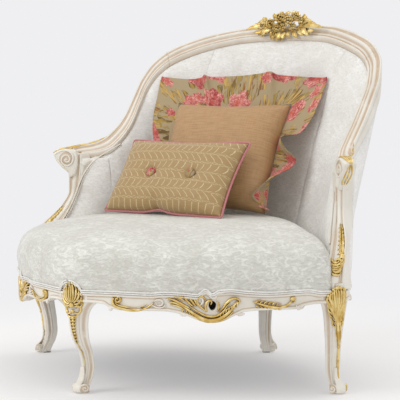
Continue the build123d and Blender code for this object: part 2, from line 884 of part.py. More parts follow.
# The volute at the end of the arm rail is let into the top of the stump
volute_way = (cos(radians(scroll_turn)), -sin(radians(scroll_turn)))
first_middle = rail_middle(wrap_angles[0])
volute_plane = Plane(
    origin=(
        first_middle.X + volute_way[0] * scroll_forward - volute_way[1] * scroll_width / 2,
        first_middle.Y + volute_way[1] * scroll_forward + volute_way[0] * scroll_width / 2,
        scroll_height,
    ),
    z_dir=(volute_way[1], -volute_way[0], 0),
)
with BuildPart() as right_arm_stump:
    add(stump_loft())
    add(acanthus.part)
    add(drill(stump_dowel, dowel_radius + gap, dowel_length), mode=Mode.SUBTRACT)
    add(drill(volute_plane.offset(-gap), scroll_radius + gap, scroll_width + 2 * gap), mode=Mode.SUBTRACT)
keep("right_arm_stump", right_arm_stump.part)

# Arm rail with the volute at its end, and crest rail
horn_plane = Plane(
    origin=(first_middle.X, first_middle.Y, 0), x_dir=(*volute_way, 0),
    z_dir=(volute_way[1], -volute_way[0], 0)
)
with BuildPart() as right_arm_rail:
    add(fan_loft(stations(wrap_angles[0], joint_angle), rail_corners))
    add(drill(volute_plane, scroll_radius, scroll_width))
    with BuildSketch(horn_plane):
        with BuildLine():
            Polyline(
                (0, scroll_height),
                (0, scroll_height + scroll_radius + scroll_tip),
                (scroll_reach, scroll_height + scroll_radius + scroll_tip),
                (scroll_reach, scroll_height + scroll_radius),
                close=True,
            )
        make_face()
    extrude(amount=scroll_width / 3, both=True)
    for dowel in (stump_dowel, shoulder_dowel):
        add(drill(dowel, dowel_radius + gap, dowel_length + gap), mode=Mode.SUBTRACT)
keep("right_arm_rail", right_arm_rail.part)

joint_gap_angle = degrees(gap / wrap_radius)
with BuildPart() as right_crest_rail:
    add(fan_loft(stations(joint_angle + joint_gap_angle, 90 - joint_gap_angle), rail_corners))
    for dowel in (shoulder_dowel, crest_dowel):
        add(drill(dowel, dowel_radius + gap, dowel_length + gap), mode=Mode.SUBTRACT)
keep("right_crest_rail", right_crest_rail.part)


def pad_section(first, last):
    """Section function of an inside panel, crowned between its two side edges."""

    def section(angle):
        face = layer(angle, pad_base_inset + pad_base_thick, 0, stump_low)
        back = layer(angle, pad_base_inset, pad_top_share, stump_low)
        across = 2 * (angle - first) / (last - first) - 1
        crown = pad_crown * max(sqrt(max(1 - across**2, 0)), pad_edge_share)
        crowned = [along(face, part, -crown * swell) for part, swell in pad_swell_shares]
        return [along(face, 0), *crowned, along(face, 1), along(back, 1), along(back, 0)]

    return section


pad_swell_shares = ((0.08, 0.5), (0.3, 1.0), (0.65, 1.0), (0.9, 0.6))
seam_gap_angle = degrees(seam_gap / wrap_radius)
panel_angles = [start_angle] + [angle for angle, _ in stump_back_shares if angle > start_angle]
panel_angles += stations(stump_edge_angle + 2 * stump_clear_angle, seam_angle)
middle_angles = stations(seam_angle + seam_gap_angle, 180 - seam_angle - seam_gap_angle)
keep("right_inside_panel", fan_loft(panel_angles, pad_section(start_angle, seam_angle)))
keep("middle_inside_panel", fan_loft(middle_angles, pad_section(middle_angles[0], middle_angles[-1])))


def cover_section(angle):
    """Thin outside cover from the seat rail to the underside of the show rail."""
    outer = layer(angle, gap, 1 - cover_top_share, stump_low)
    inner = layer(angle, cover_thick, 1 - 2 * cover_top_share, stump_low)
    return [
        along(outer, 0),
        along(outer, 0.5, cover_bulge),
        along(outer, 1),
        along(inner, 1),
        along(inner, 0.5, cover_bulge),
        along(inner, 0),
    ]


keep("right_outside_cover", fan_loft(panel_angles, cover_section))
keep("middle_outside_cover", fan_loft(middle_angles, cover_section))


# Hidden frame of the back: three posts, tack bars between them, and webbing from rail to rail
def at_height(line, height):
    """Radius of a wall line at a height."""
    (foot_radius, foot_height), (head_radius, head_height) = line
    return foot_radius + (head_radius - foot_radius) * (height - foot_height) / (head_height - foot_height)


def post_section(angle):
    """Upright post section between the panels' backs and the outside covers."""
    outer = layer(angle, post_out, post_outer_share, stump_low)
    inner = layer(angle, post_out + post_thick, post_inner_share, stump_low)
    return [outer[0], outer[1], inner[1], inner[0]]


def bar_section(angle):
    """Section of a tack bar, level with the posts."""
    outer = layer(angle, post_out, post_outer_share, stump_low)
    inner = layer(angle, post_out + post_thick, post_inner_share, stump_low)
    high = tack_bar_low + tack_bar_height
    return [
        (at_height(outer, tack_bar_low), tack_bar_low),
        (at_height(outer, high), high),
        (at_height(inner, high), high),
        (at_height(inner, tack_bar_low), tack_bar_low),
    ]


post_half_angle = degrees(post_width / 2 / wrap_radius)
keep("right_shoulder_post", fan_loft(
    (shoulder_post_angle - post_half_angle, shoulder_post_angle + post_half_angle), post_section
))
keep("back_centre_post", fan_loft((90 - post_half_angle, 90 + post_half_angle), post_section))
bar_gap_angle = post_half_angle + degrees(gap / wrap_radius)
arm_bar_ends = (bar_start_angle, shoulder_post_angle - bar_gap_angle)
back_bar_ends = (shoulder_post_angle + bar_gap_angle, 90 - bar_gap_angle)
keep("right_arm_tack_bar", fan_loft((arm_bar_ends[0], *arm_bar_angles, arm_bar_ends[1]), bar_section))
keep("right_back_tack_bar", fan_loft((back_bar_ends[0], *back_bar_angles, back_bar_ends[1]), bar_section))


def strap_section(angle):
    """Section of a webbing strap against the backs of the posts."""
    back = layer(angle, pad_base_inset - gap, pad_top_share + strap_top_share, stump_low)
    front = layer(angle, pad_base_inset - gap - strap_thick, pad_top_share + 2 * strap_top_share, stump_low)
    return [back[0], along(back, strap_rise_share), along(front, strap_rise_share), front[0]]


strap_half_angle = degrees(strap_width / 2 / wrap_radius)
with BuildPart() as back_webbing:
    for angle in strap_angles:
        for turned in (angle, 180 - angle):
            add(fan_loft(stations(turned - strap_half_angle, turned + strap_half_angle), strap_section))
keep("back_webbing", back_webbing.part)

# Seat webbing on the ledge, in two layers
inner_limit = -rail_thick - gap
web_low = ledge_low + ledge_height + gap
with BuildPart() as seat_webbing:
    with BuildSketch(Plane.XY.offset(web_low)):
        with Locations(*[(0, seat_y + web_pitch * row) for row in web_row_counts]):
            Rectangle(seat_width, web_width)
    extrude(amount=web_thick)
    with BuildSketch(Plane.XY.offset(web_low + web_thick + gap)):
        with Locations(*[(web_pitch * row, seat_y) for row in web_column_counts]):
            Rectangle(web_width, seat_depth * 2)
    extrude(amount=web_thick)
    with BuildSketch(Plane.XY.offset(ledge_low)):
        make_face(outline(inner_limit - gap, inner_limit - gap))
    extrude(amount=block_height, mode=Mode.INTERSECT)
    with BuildSketch(Plane.XY.offset(ledge_low)):
        for corner in (front_corner, back_corner):
            make_face(post_outline(corner, gap))
    extrude(amount=block_height, mode=Mode.SUBTRACT)
keep("seat_webbing", seat_webbing.part)

# Coil springs: each a stack of rings joined by a helix
spring_low = web_low + 2 * web_thick + 2 * gap
spring_rise = canvas_top - canvas_thick - gap - spring_low - spring_wire
with BuildPart() as spring:
    with BuildLine():
        Helix(pitch=spring_rise / spring_turns, height=spring_rise, radius=spring_radius)
    spring_slope = spring_rise / spring_turns / spring_radius * spring_tilt_share
    with BuildSketch(Plane(origin=(spring_radius, 0, 0), z_dir=(0, 1, spring_slope))):
        Circle(spring_wire / 2)
    sweep(is_frenet=True)
with BuildPart() as seat_springs:
    for column, row in spring_spots:
        spot = Location((spring_pitch * column, seat_y + spring_pitch * row, spring_low + spring_wire / 2))
        add(spring.part.moved(spot))
keep("seat_springs", seat_springs.part)

# Canvas tent over the springs, tacked down on the rails
tent_base = (-canvas_base_inset, -canvas_base_inset - seat_back_inset / 2)
with BuildPart() as spring_canvas:
    add(slices((
        (stump_low, *tent_base, 1, canvas_corner_inset),
        (canvas_top, *tent_base, canvas_top_share, canvas_corner_inset),
    ), seat_y))
    add(slices((
        (stump_low, -canvas_flange_inset, -seat_back_inset - canvas_flange_inset, 1, seat_skin),
        (stump_low + canvas_thick, -canvas_flange_inset, -seat_back_inset - canvas_flange_inset, 1, seat_skin),
    ), seat_y))
    add(slices((
        (stump_low, *tent_base, 1, canvas_corner_inset + canvas_thick),
        (canvas_top - canvas_thick, *tent_base, canvas_top_share, canvas_corner_inset + canvas_thick),
    ), seat_y), mode=Mode.SUBTRACT)
keep("spring_canvas", spring_canvas.part)

# Domed seat: share of the height above the rails, outward moves at front and back in shares, and the scale
dome_shares = (
    (0.0, 0.5, 0.0, 1.0),
    (0.16, 1.0, 0.2, 1.0),
    (0.34, 0.5, 0.45, 1.0),
    (0.45, 0.1, 0.6, 0.997),
    (0.54, 0.0, 0.7, 0.988),
    (0.62, 0.0, 0.8, 0.97),
    (0.70, 0.0, 0.9, 0.94),
    (0.775, 0.0, 1.0, 0.897),
    (0.85, 0.0, 1.0, 0.823),
    (0.92, 0.0, 1.0, 0.742),
    (0.965, 0.0, 1.0, 0.647),
    (1.0, 0.0, 1.0, 0.52),
)


def dome_rows(skin, low):
    """Rows for the seat's dome, drawn in by a skin, from a height up."""
    return [
        (
            low + (seat_crown_height - skin - low) * share,
            seat_bulge * swell,
            seat_back_lean * lean - seat_back_inset,
            scale,
            skin,
        )
        for share, swell, lean, scale in dome_shares
    ]


stuffing_low = stump_low + canvas_thick + gap
with BuildPart() as seat_stuffing:
    add(slices(dome_rows(seat_skin + gap, stuffing_low), dome_y))
    add(slices((
        (stump_low, *tent_base, 1, canvas_corner_inset - 2 * gap),
        (canvas_top + gap, *tent_base, canvas_top_share, canvas_corner_inset - 2 * gap),
    ), seat_y), mode=Mode.SUBTRACT)
keep("seat_stuffing", seat_stuffing.part)

with BuildPart() as seat_cover:
    add(slices(dome_rows(0, stuffing_low), dome_y))
    for side in (False, True):
        with BuildPart(mode=Mode.PRIVATE) as roll:
            with BuildSketch(Plane.XY.offset(rail_top + gap)):
                make_face(band(front_arc, seat_roll, gap - rail_rebate, roll_stop))
            extrude(amount=stuffing_low + overrun - rail_top - gap)
        add(roll.part.mirror(Plane.YZ) if side else roll.part)
    add(slices(dome_rows(seat_skin, stuffing_low), dome_y), mode=Mode.SUBTRACT)
keep("seat_cover", seat_cover.part)

# Spray of leaves and blooms over the middle of the crest, in shares of its half width and its rise
spray_shares = (
    (-1.0, 0.0), (-0.78, 0.24), (-0.58, 0.42), (-0.45, 0.64), (-0.3, 0.7), (-0.2, 0.96), (0.0, 1.04), (0.16, 0.92),
    (0.31, 1.0), (0.4, 0.74), (0.52, 0.62), (0.65, 0.36), (0.84, 0.22), (1.0, 0.02), (0.84, -0.18), (0.58, -0.28),
    (0.45, -0.58), (0.32, -0.6), (0.13, -0.45), (-0.06, -0.64), (-0.32, -0.62), (-0.5, -0.46), (-0.7, -0.28),
    (-0.87, -0.18),
)
bloom_shares = ((-0.46, 0.3), (-0.12, 0.62), (0.2, 0.5), (0.5, 0.22), (0.02, -0.2))


def clear_rail(angle):
    """Rail section grown a little on its face and its top, to clear the spray."""
    lip, bead_point, outer, _, _ = rail_corners(angle)
    low = crest_height - 2 * spray_rise
    return [
        (lip[0] - gap, lip[1]),
        (bead_point[0] - gap, bead_point[1] + gap),
        (outer[0], outer[1] + gap),
        (outer[0], low),
        (lip[0] - gap, low),
    ]


spray_turn = degrees(spray_half / spray_radius) + post_half_angle
with BuildPart() as crest_spray:
    with BuildSketch(Plane.XY.offset(crest_height - spray_rise)):
        with Locations((0, fan_y)):
            Circle(spray_radius)
            Circle(spray_radius - spray_thick, mode=Mode.SUBTRACT)
    extrude(amount=2 * spray_rise + overrun)
    with BuildSketch(Plane.XZ):
        with BuildLine():
            Polyline(*[(spray_half * x, crest_height + spray_rise * y) for x, y in spray_shares], close=True)
        make_face()
    extrude(amount=-seat_depth, mode=Mode.INTERSECT)
    for x, y in bloom_shares:
        across = degrees(spray_half * x / spray_radius)
        way = (sin(radians(across)), cos(radians(across)), 0)
        start = spray_radius - spray_thick - bloom_thick
        with BuildSketch(Plane(
            origin=(way[0] * start, fan_y + way[1] * start, crest_height + spray_rise * y), z_dir=way
        )):
            Circle(bloom_radius)
        extrude(amount=bloom_thick + bloom_radius)
    add(fan_loft(stations(90 - spray_turn, 90 + spray_turn), clear_rail), mode=Mode.SUBTRACT)
keep("crest_spray", crest_spray.part)

# Corner blocks inside the frame, their screws, and the dowels of the show rail


def mirrored(arc):
    """The same arc on the other side of the mirror plane."""
    (centre_x, centre_y), radius, first, last = arc
    return (-centre_x, centre_y), radius, first, last


def inside(arcs):
    """Trim the sketch that is being drawn to the inside of the rails."""
    for (centre_x, centre_y), radius, _, _ in arcs:
        with Locations((centre_x, centre_y)):
            Circle(radius + inner_limit, mode=Mode.INTERSECT)


def flip(plane):
    """Mirror a screw's plane to the other side of the chair."""
    return Plane(
        origin=(-plane.origin.X, plane.origin.Y, plane.origin.Z),
        z_dir=(-plane.z_dir.X, plane.z_dir.Y, plane.z_dir.Z)
    )


front_screws, back_screws = screw_planes["front_right_rail"], screw_planes["back_right_rail"]
blocks = {
    "front_corner_block": (
        front_corner, (0, 1), [front_arc, mirrored(front_arc)], [front_screws[0], flip(front_screws[0])],
    ),
    "right_corner_block": (right_corner, (-1, 0), [front_arc, back_arc], [front_screws[1], back_screws[0]]),
    "back_corner_block": (
        back_corner, (0, -1), [back_arc, mirrored(back_arc)], [back_screws[1], flip(back_screws[1])],
    ),
}
for block_name, (corner, inward, arcs, heads) in blocks.items():
    reach = post_depth + block_depth / 2
    span_x = block_length if inward[0] == 0 else block_depth + post_depth
    span_y = block_length if inward[1] == 0 else block_depth + post_depth
    with BuildPart() as block:
        with BuildSketch(Plane.XY.offset(block_low)):
            with Locations((corner[0] + inward[0] * reach, corner[1] + inward[1] * reach)):
                Rectangle(span_x, span_y)
            inside(arcs)
            make_face(post_outline(corner, gap), mode=Mode.SUBTRACT)
        extrude(amount=block_height)
        for head in heads:
            add(drill(head, screw_radius + gap, screw_grip + overrun), mode=Mode.SUBTRACT)
            add(drill(head.offset(gap), screw_head_radius + gap, -block_length), mode=Mode.SUBTRACT)
    keep(block_name, block.part)

all_heads = [head for heads in screw_planes.values() for head in heads]
with BuildPart() as corner_screws:
    for head in all_heads + [flip(head) for head in all_heads]:
        add(drill(head, screw_head_radius, -screw_head_height))
        add(drill(head, screw_radius, screw_length))
keep("corner_screws", corner_screws.part)

with BuildPart() as rail_dowels:
    for start in (stump_dowel, shoulder_dowel):
        pin = drill(start.offset(gap), dowel_radius, dowel_length - gap)
        add(pin)
        add(pin.mirror(Plane.YZ))
    add(drill(crest_dowel, dowel_radius, dowel_length))
keep("rail_dowels", rail_dowels.part)

with BuildPart() as foot_glides:
    for leg_name, plane in glide_planes.items():
        nail = drill(plane, glide_nail_radius, glide_height + glide_nail_length)
        glide = drill(plane, glide_radius, glide_height) + nail
        add(glide)
        if leg_name == "right_leg":
            add(glide.mirror(Plane.YZ))
keep("foot_glides", foot_glides.part)

# Dust cover under the ledges, and its tacks
tack_heads = tack_planes(front_arc) + tack_planes(back_arc)
tack_heads += [flip(head) for head in tack_heads]
with BuildPart() as dust_cover:
    with BuildSketch(Plane.XY.offset(cloth_low)):
        with Locations((0, seat_y)):
            Rectangle(seat_width, seat_depth)
        inside([front_arc, mirrored(front_arc), back_arc, mirrored(back_arc)])
        for corner in (front_corner, right_corner, back_corner):
            make_face(post_outline(corner, gap), mode=Mode.SUBTRACT)
        mirror(make_face(post_outline(right_corner, gap), mode=Mode.PRIVATE), about=Plane.YZ, mode=Mode.SUBTRACT)
    extrude(amount=cloth_thick)
    for head in tack_heads:
        add(drill(head, tack_shank_radius + gap, tack_shank_length), mode=Mode.SUBTRACT)
keep("dust_cover", dust_cover.part)

with BuildPart() as dust_cover_tacks:
    for head in tack_heads:
        add(drill(head, tack_radius, tack_height))
        add(drill(head, tack_shank_radius, tack_shank_length))
keep("dust_cover_tacks", dust_cover_tacks.part)

# Loose cushions: share of the thickness off the middle plane, and share of the size
swell_shares = (
    (-0.3, 0.5), (-0.27, 0.7), (-0.17, 0.88), (-0.02, 1.0), (0.02, 1.0), (0.42, 0.88), (0.64, 0.7), (0.7, 0.5),
)


def drawn_in(half_width, half_height, draw):
    """Edges of a cushion outline whose four sides are drawn in between its corners."""
    with BuildLine() as edge:
        ThreePointArc((-half_width, -half_height), (0, -half_height + draw), (half_width, -half_height))
        ThreePointArc((half_width, -half_height), (half_width - draw, 0), (half_width, half_height))
        ThreePointArc((half_width, half_height), (0, half_height - draw), (-half_width, half_height))
        ThreePointArc((-half_width, half_height), (-half_width + draw, 0), (-half_width, -half_height))
    return edge.edges()


def cushion(plane, half_width, half_height, thick):
    """Plump cushion with drawn-in sides, on both faces of a plane."""
    with BuildPart() as body:
        for off, size in swell_shares:
            with BuildSketch(plane.offset(off * thick)):
                make_face(drawn_in(half_width * size, half_height * size, cushion_draw * size))
        loft(ruled=True)
    return body.part


def leaning(middle, lean, turn):
    """Plane of a cushion: x across it, y up it, z out of its front."""
    across = (cos(radians(turn)), sin(radians(turn)), 0)
    front = (
        sin(radians(turn)) * cos(radians(lean)), -cos(radians(turn)) * cos(radians(lean)), sin(radians(lean)),
    )
    return Plane(origin=middle, x_dir=across, z_dir=front)


square_plane = leaning((square_middle_x, square_middle_y, square_middle_z), square_lean, square_turn)
keep("square_cushion", cushion(square_plane, square_half_width, square_half_height, square_thick))

# Flange all round the square cushion: side by side, wavy, the lower side tucked back on the seat
flange_steps = 8
# Side of the flange: its tuck, and whether it meets the next strips at a mitre at its start and end
flange_sides = {
    (0, -1): (flange_tuck, False, False),
    (1, 0): (flange_curl, False, True),
    (0, 1): (flange_curl, True, True),
    (-1, 0): (flange_curl, True, False),
}


def flange_station(out, step):
    """Plane of one cut across the flange, x pointing outward across it, and the reach of the cut."""
    run = 2 * step / flange_steps - 1
    tuck, start_mitre, end_mitre = flange_sides[out]
    way = (-out[1], out[0])
    halves = (square_half_width, square_half_height)
    far, wide = halves if out[1] == 0 else halves[::-1]
    hold = far - cushion_draw * (1 - run**2) + flange_clear + (0 if start_mitre or end_mitre else flange_thick)
    slide = run * (wide + flange_clear)
    splay = run if (run == -1 and start_mitre) or (run == 1 and end_mitre) else 0
    ahead = Vector(out[0] + way[0] * splay, out[1] + way[1] * splay, 0)
    tuck = radians(tuck)
    wave = flange_wave / square_flange * sin(2 * pi * flange_waves * step / flange_steps)
    direction = ahead * cos(tuck) + Vector(0, 0, wave - sin(tuck) * ahead.length)
    side = Vector(way[0] - out[0] * splay, way[1] - out[1] * splay, 0)
    point = Vector(out[0] * hold + way[0] * slide, out[1] * hold + way[1] * slide, 0)
    origin = square_plane.from_local_coords(point)
    plane = Plane(
        origin=origin,
        x_dir=square_plane.from_local_coords(point + direction) - origin,
        z_dir=square_plane.from_local_coords(point + side) - origin,
    )
    return plane, square_flange * ahead.length


with BuildPart() as square_flange_cloth:
    for out in flange_sides:
        with BuildPart(mode=Mode.PRIVATE) as strip:
            for step in range(flange_steps + 1):
                plane, reach = flange_station(out, step)
                with BuildSketch(plane):
                    with Locations((reach / 2, 0)):
                        Rectangle(reach, flange_thick)
            loft(ruled=True)
        add(strip.part)
keep("square_cushion_flange", square_flange_cloth.part)

lumbar_plane = leaning((lumbar_middle_x, lumbar_middle_y, lumbar_middle_z), lumbar_lean, lumbar_turn)
button_plane = lumbar_plane.offset(lumbar_thick * swell_shares[-1][0] - tuft_depth)
with BuildPart() as lumbar_cushion:
    add(cushion(lumbar_plane, lumbar_half_width, lumbar_half_height, lumbar_thick))
    for side in (-1, 1):
        with BuildPart(mode=Mode.PRIVATE) as tuft:
            with BuildSketch(button_plane):
                with Locations((button_side + side * button_spread, -button_drop)):
                    Circle(button_radius + gap)
            with BuildSketch(button_plane.offset(tuft_depth + overrun)):
                with Locations((button_side + side * button_spread, -button_drop)):
                    Circle(button_radius + tuft_depth + overrun)
            loft()
        add(tuft.part, mode=Mode.SUBTRACT)
keep("lumbar_cushion", lumbar_cushion.part)

with BuildPart() as lumbar_buttons:
    with BuildSketch(button_plane.offset(gap)):
        with Locations((button_side - button_spread, -button_drop), (button_side + button_spread, -button_drop)):
            Circle(button_radius)
    extrude(amount=button_thick)
keep("lumbar_buttons", lumbar_buttons.part)

with BuildPart() as lumbar_piping:
    with BuildSketch(lumbar_plane.offset(-piping_width / 2)):
        make_face(drawn_in(lumbar_half_width + piping_width, lumbar_half_height + piping_width, cushion_draw))
        make_face(drawn_in(lumbar_half_width + gap, lumbar_half_height + gap, cushion_draw), mode=Mode.SUBTRACT)
    extrude(amount=piping_width)
keep("lumbar_piping", lumbar_piping.part)

# Mirror twins on the left
for name in [name for name in finished if "right" in name]:
    keep(name.replace("right", "left"), finished[name].mirror(Plane.YZ))
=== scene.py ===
import bmesh
import bpy
import json
from math import asin, atan2, cos, hypot, pi, radians, sin, sqrt
import numpy as np
from mathutils import Matrix, Vector


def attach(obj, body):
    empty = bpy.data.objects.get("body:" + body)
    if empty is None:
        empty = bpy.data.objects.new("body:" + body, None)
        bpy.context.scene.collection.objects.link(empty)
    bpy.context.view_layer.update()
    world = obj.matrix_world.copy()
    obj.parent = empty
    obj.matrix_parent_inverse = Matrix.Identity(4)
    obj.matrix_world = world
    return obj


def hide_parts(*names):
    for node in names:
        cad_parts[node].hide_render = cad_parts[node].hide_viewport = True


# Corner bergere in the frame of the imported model. Lengths are in millimetres until a mesh is made.
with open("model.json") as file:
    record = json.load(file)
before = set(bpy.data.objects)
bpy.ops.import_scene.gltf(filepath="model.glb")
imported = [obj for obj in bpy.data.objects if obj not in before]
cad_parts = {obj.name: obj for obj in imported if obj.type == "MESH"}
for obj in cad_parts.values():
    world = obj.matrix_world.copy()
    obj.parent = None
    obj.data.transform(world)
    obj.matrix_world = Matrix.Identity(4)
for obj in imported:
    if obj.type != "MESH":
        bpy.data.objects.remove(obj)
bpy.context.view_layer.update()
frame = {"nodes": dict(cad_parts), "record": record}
scene = bpy.context.scene


# Node materials
class Shading:
    """A node tree, and the steps that its colours and bumps are built with."""

    def __init__(self, tree):
        self.tree = tree
        tree.nodes.clear()

    def put(self, socket, value):
        """Link a socket or set a constant."""
        if isinstance(value, bpy.types.NodeSocket):
            self.tree.links.new(value, socket)
        else:
            socket.default_value = value

    def add(self, kind, inputs=None, **props):
        node = self.tree.nodes.new(kind)
        for key, value in props.items():
            setattr(node, key, value)
        for key, value in (inputs or {}).items():
            self.put(node.inputs[key], value)
        return node

    def math(self, operation, a, b=0.0, clamp=False):
        return self.add("ShaderNodeMath", {0: a, 1: b}, operation=operation, use_clamp=clamp).outputs[0]

    def plus(self, a, b):
        return self.math("ADD", a, b)

    def minus(self, a, b):
        return self.math("SUBTRACT", a, b)

    def times(self, a, b, clamp=False):
        return self.math("MULTIPLY", a, b, clamp)

    def step(self, value, low, high):
        """0 to 1 between low and high, with soft ends."""
        return self.add("ShaderNodeMapRange", {"Value": value, "From Min": low, "From Max": high},
                        interpolation_type="SMOOTHSTEP").outputs[0]

    def mix(self, part, a, b, blend="MIX"):
        node = self.add("ShaderNodeMix", data_type="RGBA", blend_type=blend)
        for socket, value in ((0, part), (6, a), (7, b)):
            self.put(node.inputs[socket], value)
        return node.outputs[2]

    def place(self, kind="Object", scale=(1, 1, 1), rotation=(0, 0, 0)):
        coords = self.add("ShaderNodeTexCoord").outputs[kind]
        mapping = self.add("ShaderNodeMapping", {"Vector": coords, "Scale": scale, "Rotation": rotation})
        return mapping.outputs[0]

    def noise(self, where, scale, detail=3.0, rough=0.5, distortion=0.0):
        return self.add("ShaderNodeTexNoise", {
            "Vector": where, "Scale": scale, "Detail": detail, "Roughness": rough,
            "Distortion": distortion}).outputs[0]

    def wave(self, where, scale, direction, distortion=0.0):
        return self.add("ShaderNodeTexWave", {
            "Vector": where, "Scale": scale, "Distortion": distortion, "Detail Scale": 1.0},
            bands_direction=direction).outputs[1]

    def parts(self, vector):
        return self.add("ShaderNodeSeparateXYZ", {0: vector}).outputs

    def attribute(self, name):
        return self.add("ShaderNodeAttribute", attribute_name=name).outputs["Fac"]

    def hollow(self, distance, low, high):
        """1 in hollows and corners, 0 on open surfaces."""
        node = self.add("ShaderNodeAmbientOcclusion", {"Distance": distance}, samples=8)
        return self.minus(1.0, self.step(node.outputs["AO"], low, high))


class Material(Shading):
    """Node material round one principled shader."""

    def __init__(self, name, metallic=0.0, roughness=0.5, sheen=0.0, sheen_rough=0.5, coat=0.0, specular=0.5):
        self.made = bpy.data.materials.new(name)
        self.made.use_nodes = True
        super().__init__(self.made.node_tree)
        out = self.add("ShaderNodeOutputMaterial")
        self.shader = self.add("ShaderNodeBsdfPrincipled", {
            "Metallic": metallic, "Roughness": roughness, "Sheen Weight": sheen,
            "Sheen Roughness": sheen_rough, "Coat Weight": coat, "Specular IOR Level": specular})
        self.put(out.inputs[0], self.shader.outputs[0])

    def finish(self, colour, height, strength, distance):
        """Base colour, and a bump that stands a distance in metres; gives the material."""
        self.put(self.shader.inputs["Base Color"], colour)
        bump = self.add("ShaderNodeBump", {"Height": height, "Strength": strength, "Distance": distance})
        self.put(self.shader.inputs["Normal"], bump.outputs[0])
        return self.made


def rgb(red, green, blue):
    """Colour from the usual 0 to 255 numbers."""
    def linear(value):
        value /= 255
        return value / 12.92 if value <= 0.04045 else ((value + 0.055) / 1.055) ** 2.4
    return linear(red), linear(green), linear(blue), 1.0


def painted_wood():
    m = Material("painted_wood", roughness=0.42, coat=0.08, specular=0.4)
    where = m.place()
    cloud = m.step(m.noise(where, 9.0, 4.0), 0.35, 0.7)
    paint = m.mix(cloud, rgb(233, 229, 219), rgb(221, 214, 201))
    rub = m.step(m.noise(where, 70.0, 5.0, 0.65), 0.58, 0.76)
    paint = m.mix(m.times(rub, 0.16), paint, rgb(219, 199, 181))
    groove = m.math("MAXIMUM", m.attribute("glaze_and_seat_shade"), m.hollow(0.007, 0.15, 0.6))
    patchy = m.times(groove, m.step(m.noise(where, 35.0, 4.0), 0.1, 0.5), clamp=True)
    glaze_and_seat_shade = m.mix(m.noise(where, 22.0), rgb(178, 140, 108), rgb(206, 178, 140))
    grain = m.plus(m.noise(where, 400.0, 2.0), m.times(rub, 0.6))
    return m.finish(m.mix(m.times(patchy, 0.85), paint, glaze_and_seat_shade), grain, 0.12, 0.0006)


def gilded_wood():
    m = Material("gilded_wood", metallic=0.72, roughness=0.36, specular=0.6)
    where = m.place()
    leaf = m.step(m.noise(where, 60.0, 5.0), 0.32, 0.66)
    gold = m.mix(leaf, rgb(205, 168, 84), rgb(236, 212, 146))
    deep = m.hollow(0.008, 0.3, 0.9)
    gilt_wear_and_seat_shade = m.step(m.noise(where, 150.0, 4.0, 0.6), 0.6, 0.74)
    gold = m.mix(m.times(gilt_wear_and_seat_shade, 0.35), gold, rgb(226, 205, 170))
    gold = m.mix(m.times(deep, 0.9), gold, rgb(104, 70, 26))
    return m.finish(gold, m.noise(where, 260.0, 3.0), 0.4, 0.0012)


def plain_wood(name, light, dark):
    m = Material(name, roughness=0.7, specular=0.3)
    where = m.place(scale=(1, 1, 6))
    grain = m.noise(where, 18.0, 5.0, 0.6, 1.2)
    return m.finish(m.mix(grain, light, dark), m.noise(where, 90.0, 3.0), 0.3, 0.0008)


def velvet():
    m = Material("upholstery_velvet", roughness=0.72, sheen=0.35, sheen_rough=0.45, specular=0.25)
    where = m.place()
    slanted = m.place(scale=(1.0, 1.0, 2.2), rotation=(0.3, 0.5, 0.6))
    clouds = m.step(m.noise(where, 7.0, 5.0, 0.55, 0.8), 0.34, 0.68)
    crush = m.step(m.noise(slanted, 34.0, 6.0, 0.62, 1.6), 0.42, 0.66)
    specks = m.step(m.noise(slanted, 120.0, 4.0, 0.6, 0.8), 0.45, 0.7)
    base = m.mix(clouds, rgb(228, 225, 219), rgb(240, 238, 233))
    base = m.mix(m.times(crush, m.plus(m.times(clouds, 0.6), 0.3)), base, rgb(252, 251, 248))
    base = m.mix(m.times(specks, 0.42), base, rgb(202, 198, 190))
    # Painted shade: the seat, marked by its per-point attribute, is a little darker than the back
    gilt_wear_and_seat_shade = m.mix(crush, rgb(226, 227, 223), rgb(240, 241, 237))
    base = m.mix(m.attribute("glaze_and_seat_shade"), base, gilt_wear_and_seat_shade, "MULTIPLY")
    weave = m.plus(m.wave(where, 260.0, "DIAGONAL", 0.6), m.times(crush, 1.3))
    return m.finish(base, m.plus(weave, m.times(specks, 0.8)), 0.25, 0.0009)


def cloth(name, light, dark, roughness=0.85, threads=900.0):
    m = Material(name, roughness=roughness, sheen=0.2, specular=0.2)
    where = m.place()
    weave = m.plus(m.wave(where, threads, "X"), m.wave(where, threads, "Z"))
    return m.finish(m.mix(m.noise(where, 30.0, 5.0), light, dark), weave, 0.3, 0.0006)


def tan_silk():
    m = Material("tan_silk", roughness=0.5, sheen=0.35, sheen_rough=0.3, specular=0.4)
    slubs = m.step(m.noise(m.place("UV", scale=(1, 14, 1)), 22.0, 5.0, 0.65), 0.35, 0.72)
    ends = m.step(m.noise(m.place("UV", scale=(14, 1, 1)), 20.0, 4.0, 0.6), 0.35, 0.75)
    base = m.mix(slubs, rgb(184, 146, 104), rgb(162, 124, 82))
    base = m.mix(m.times(ends, 0.4), base, rgb(193, 158, 114))
    return m.finish(base, m.plus(slubs, m.times(ends, 0.5)), 0.3, 0.0008)


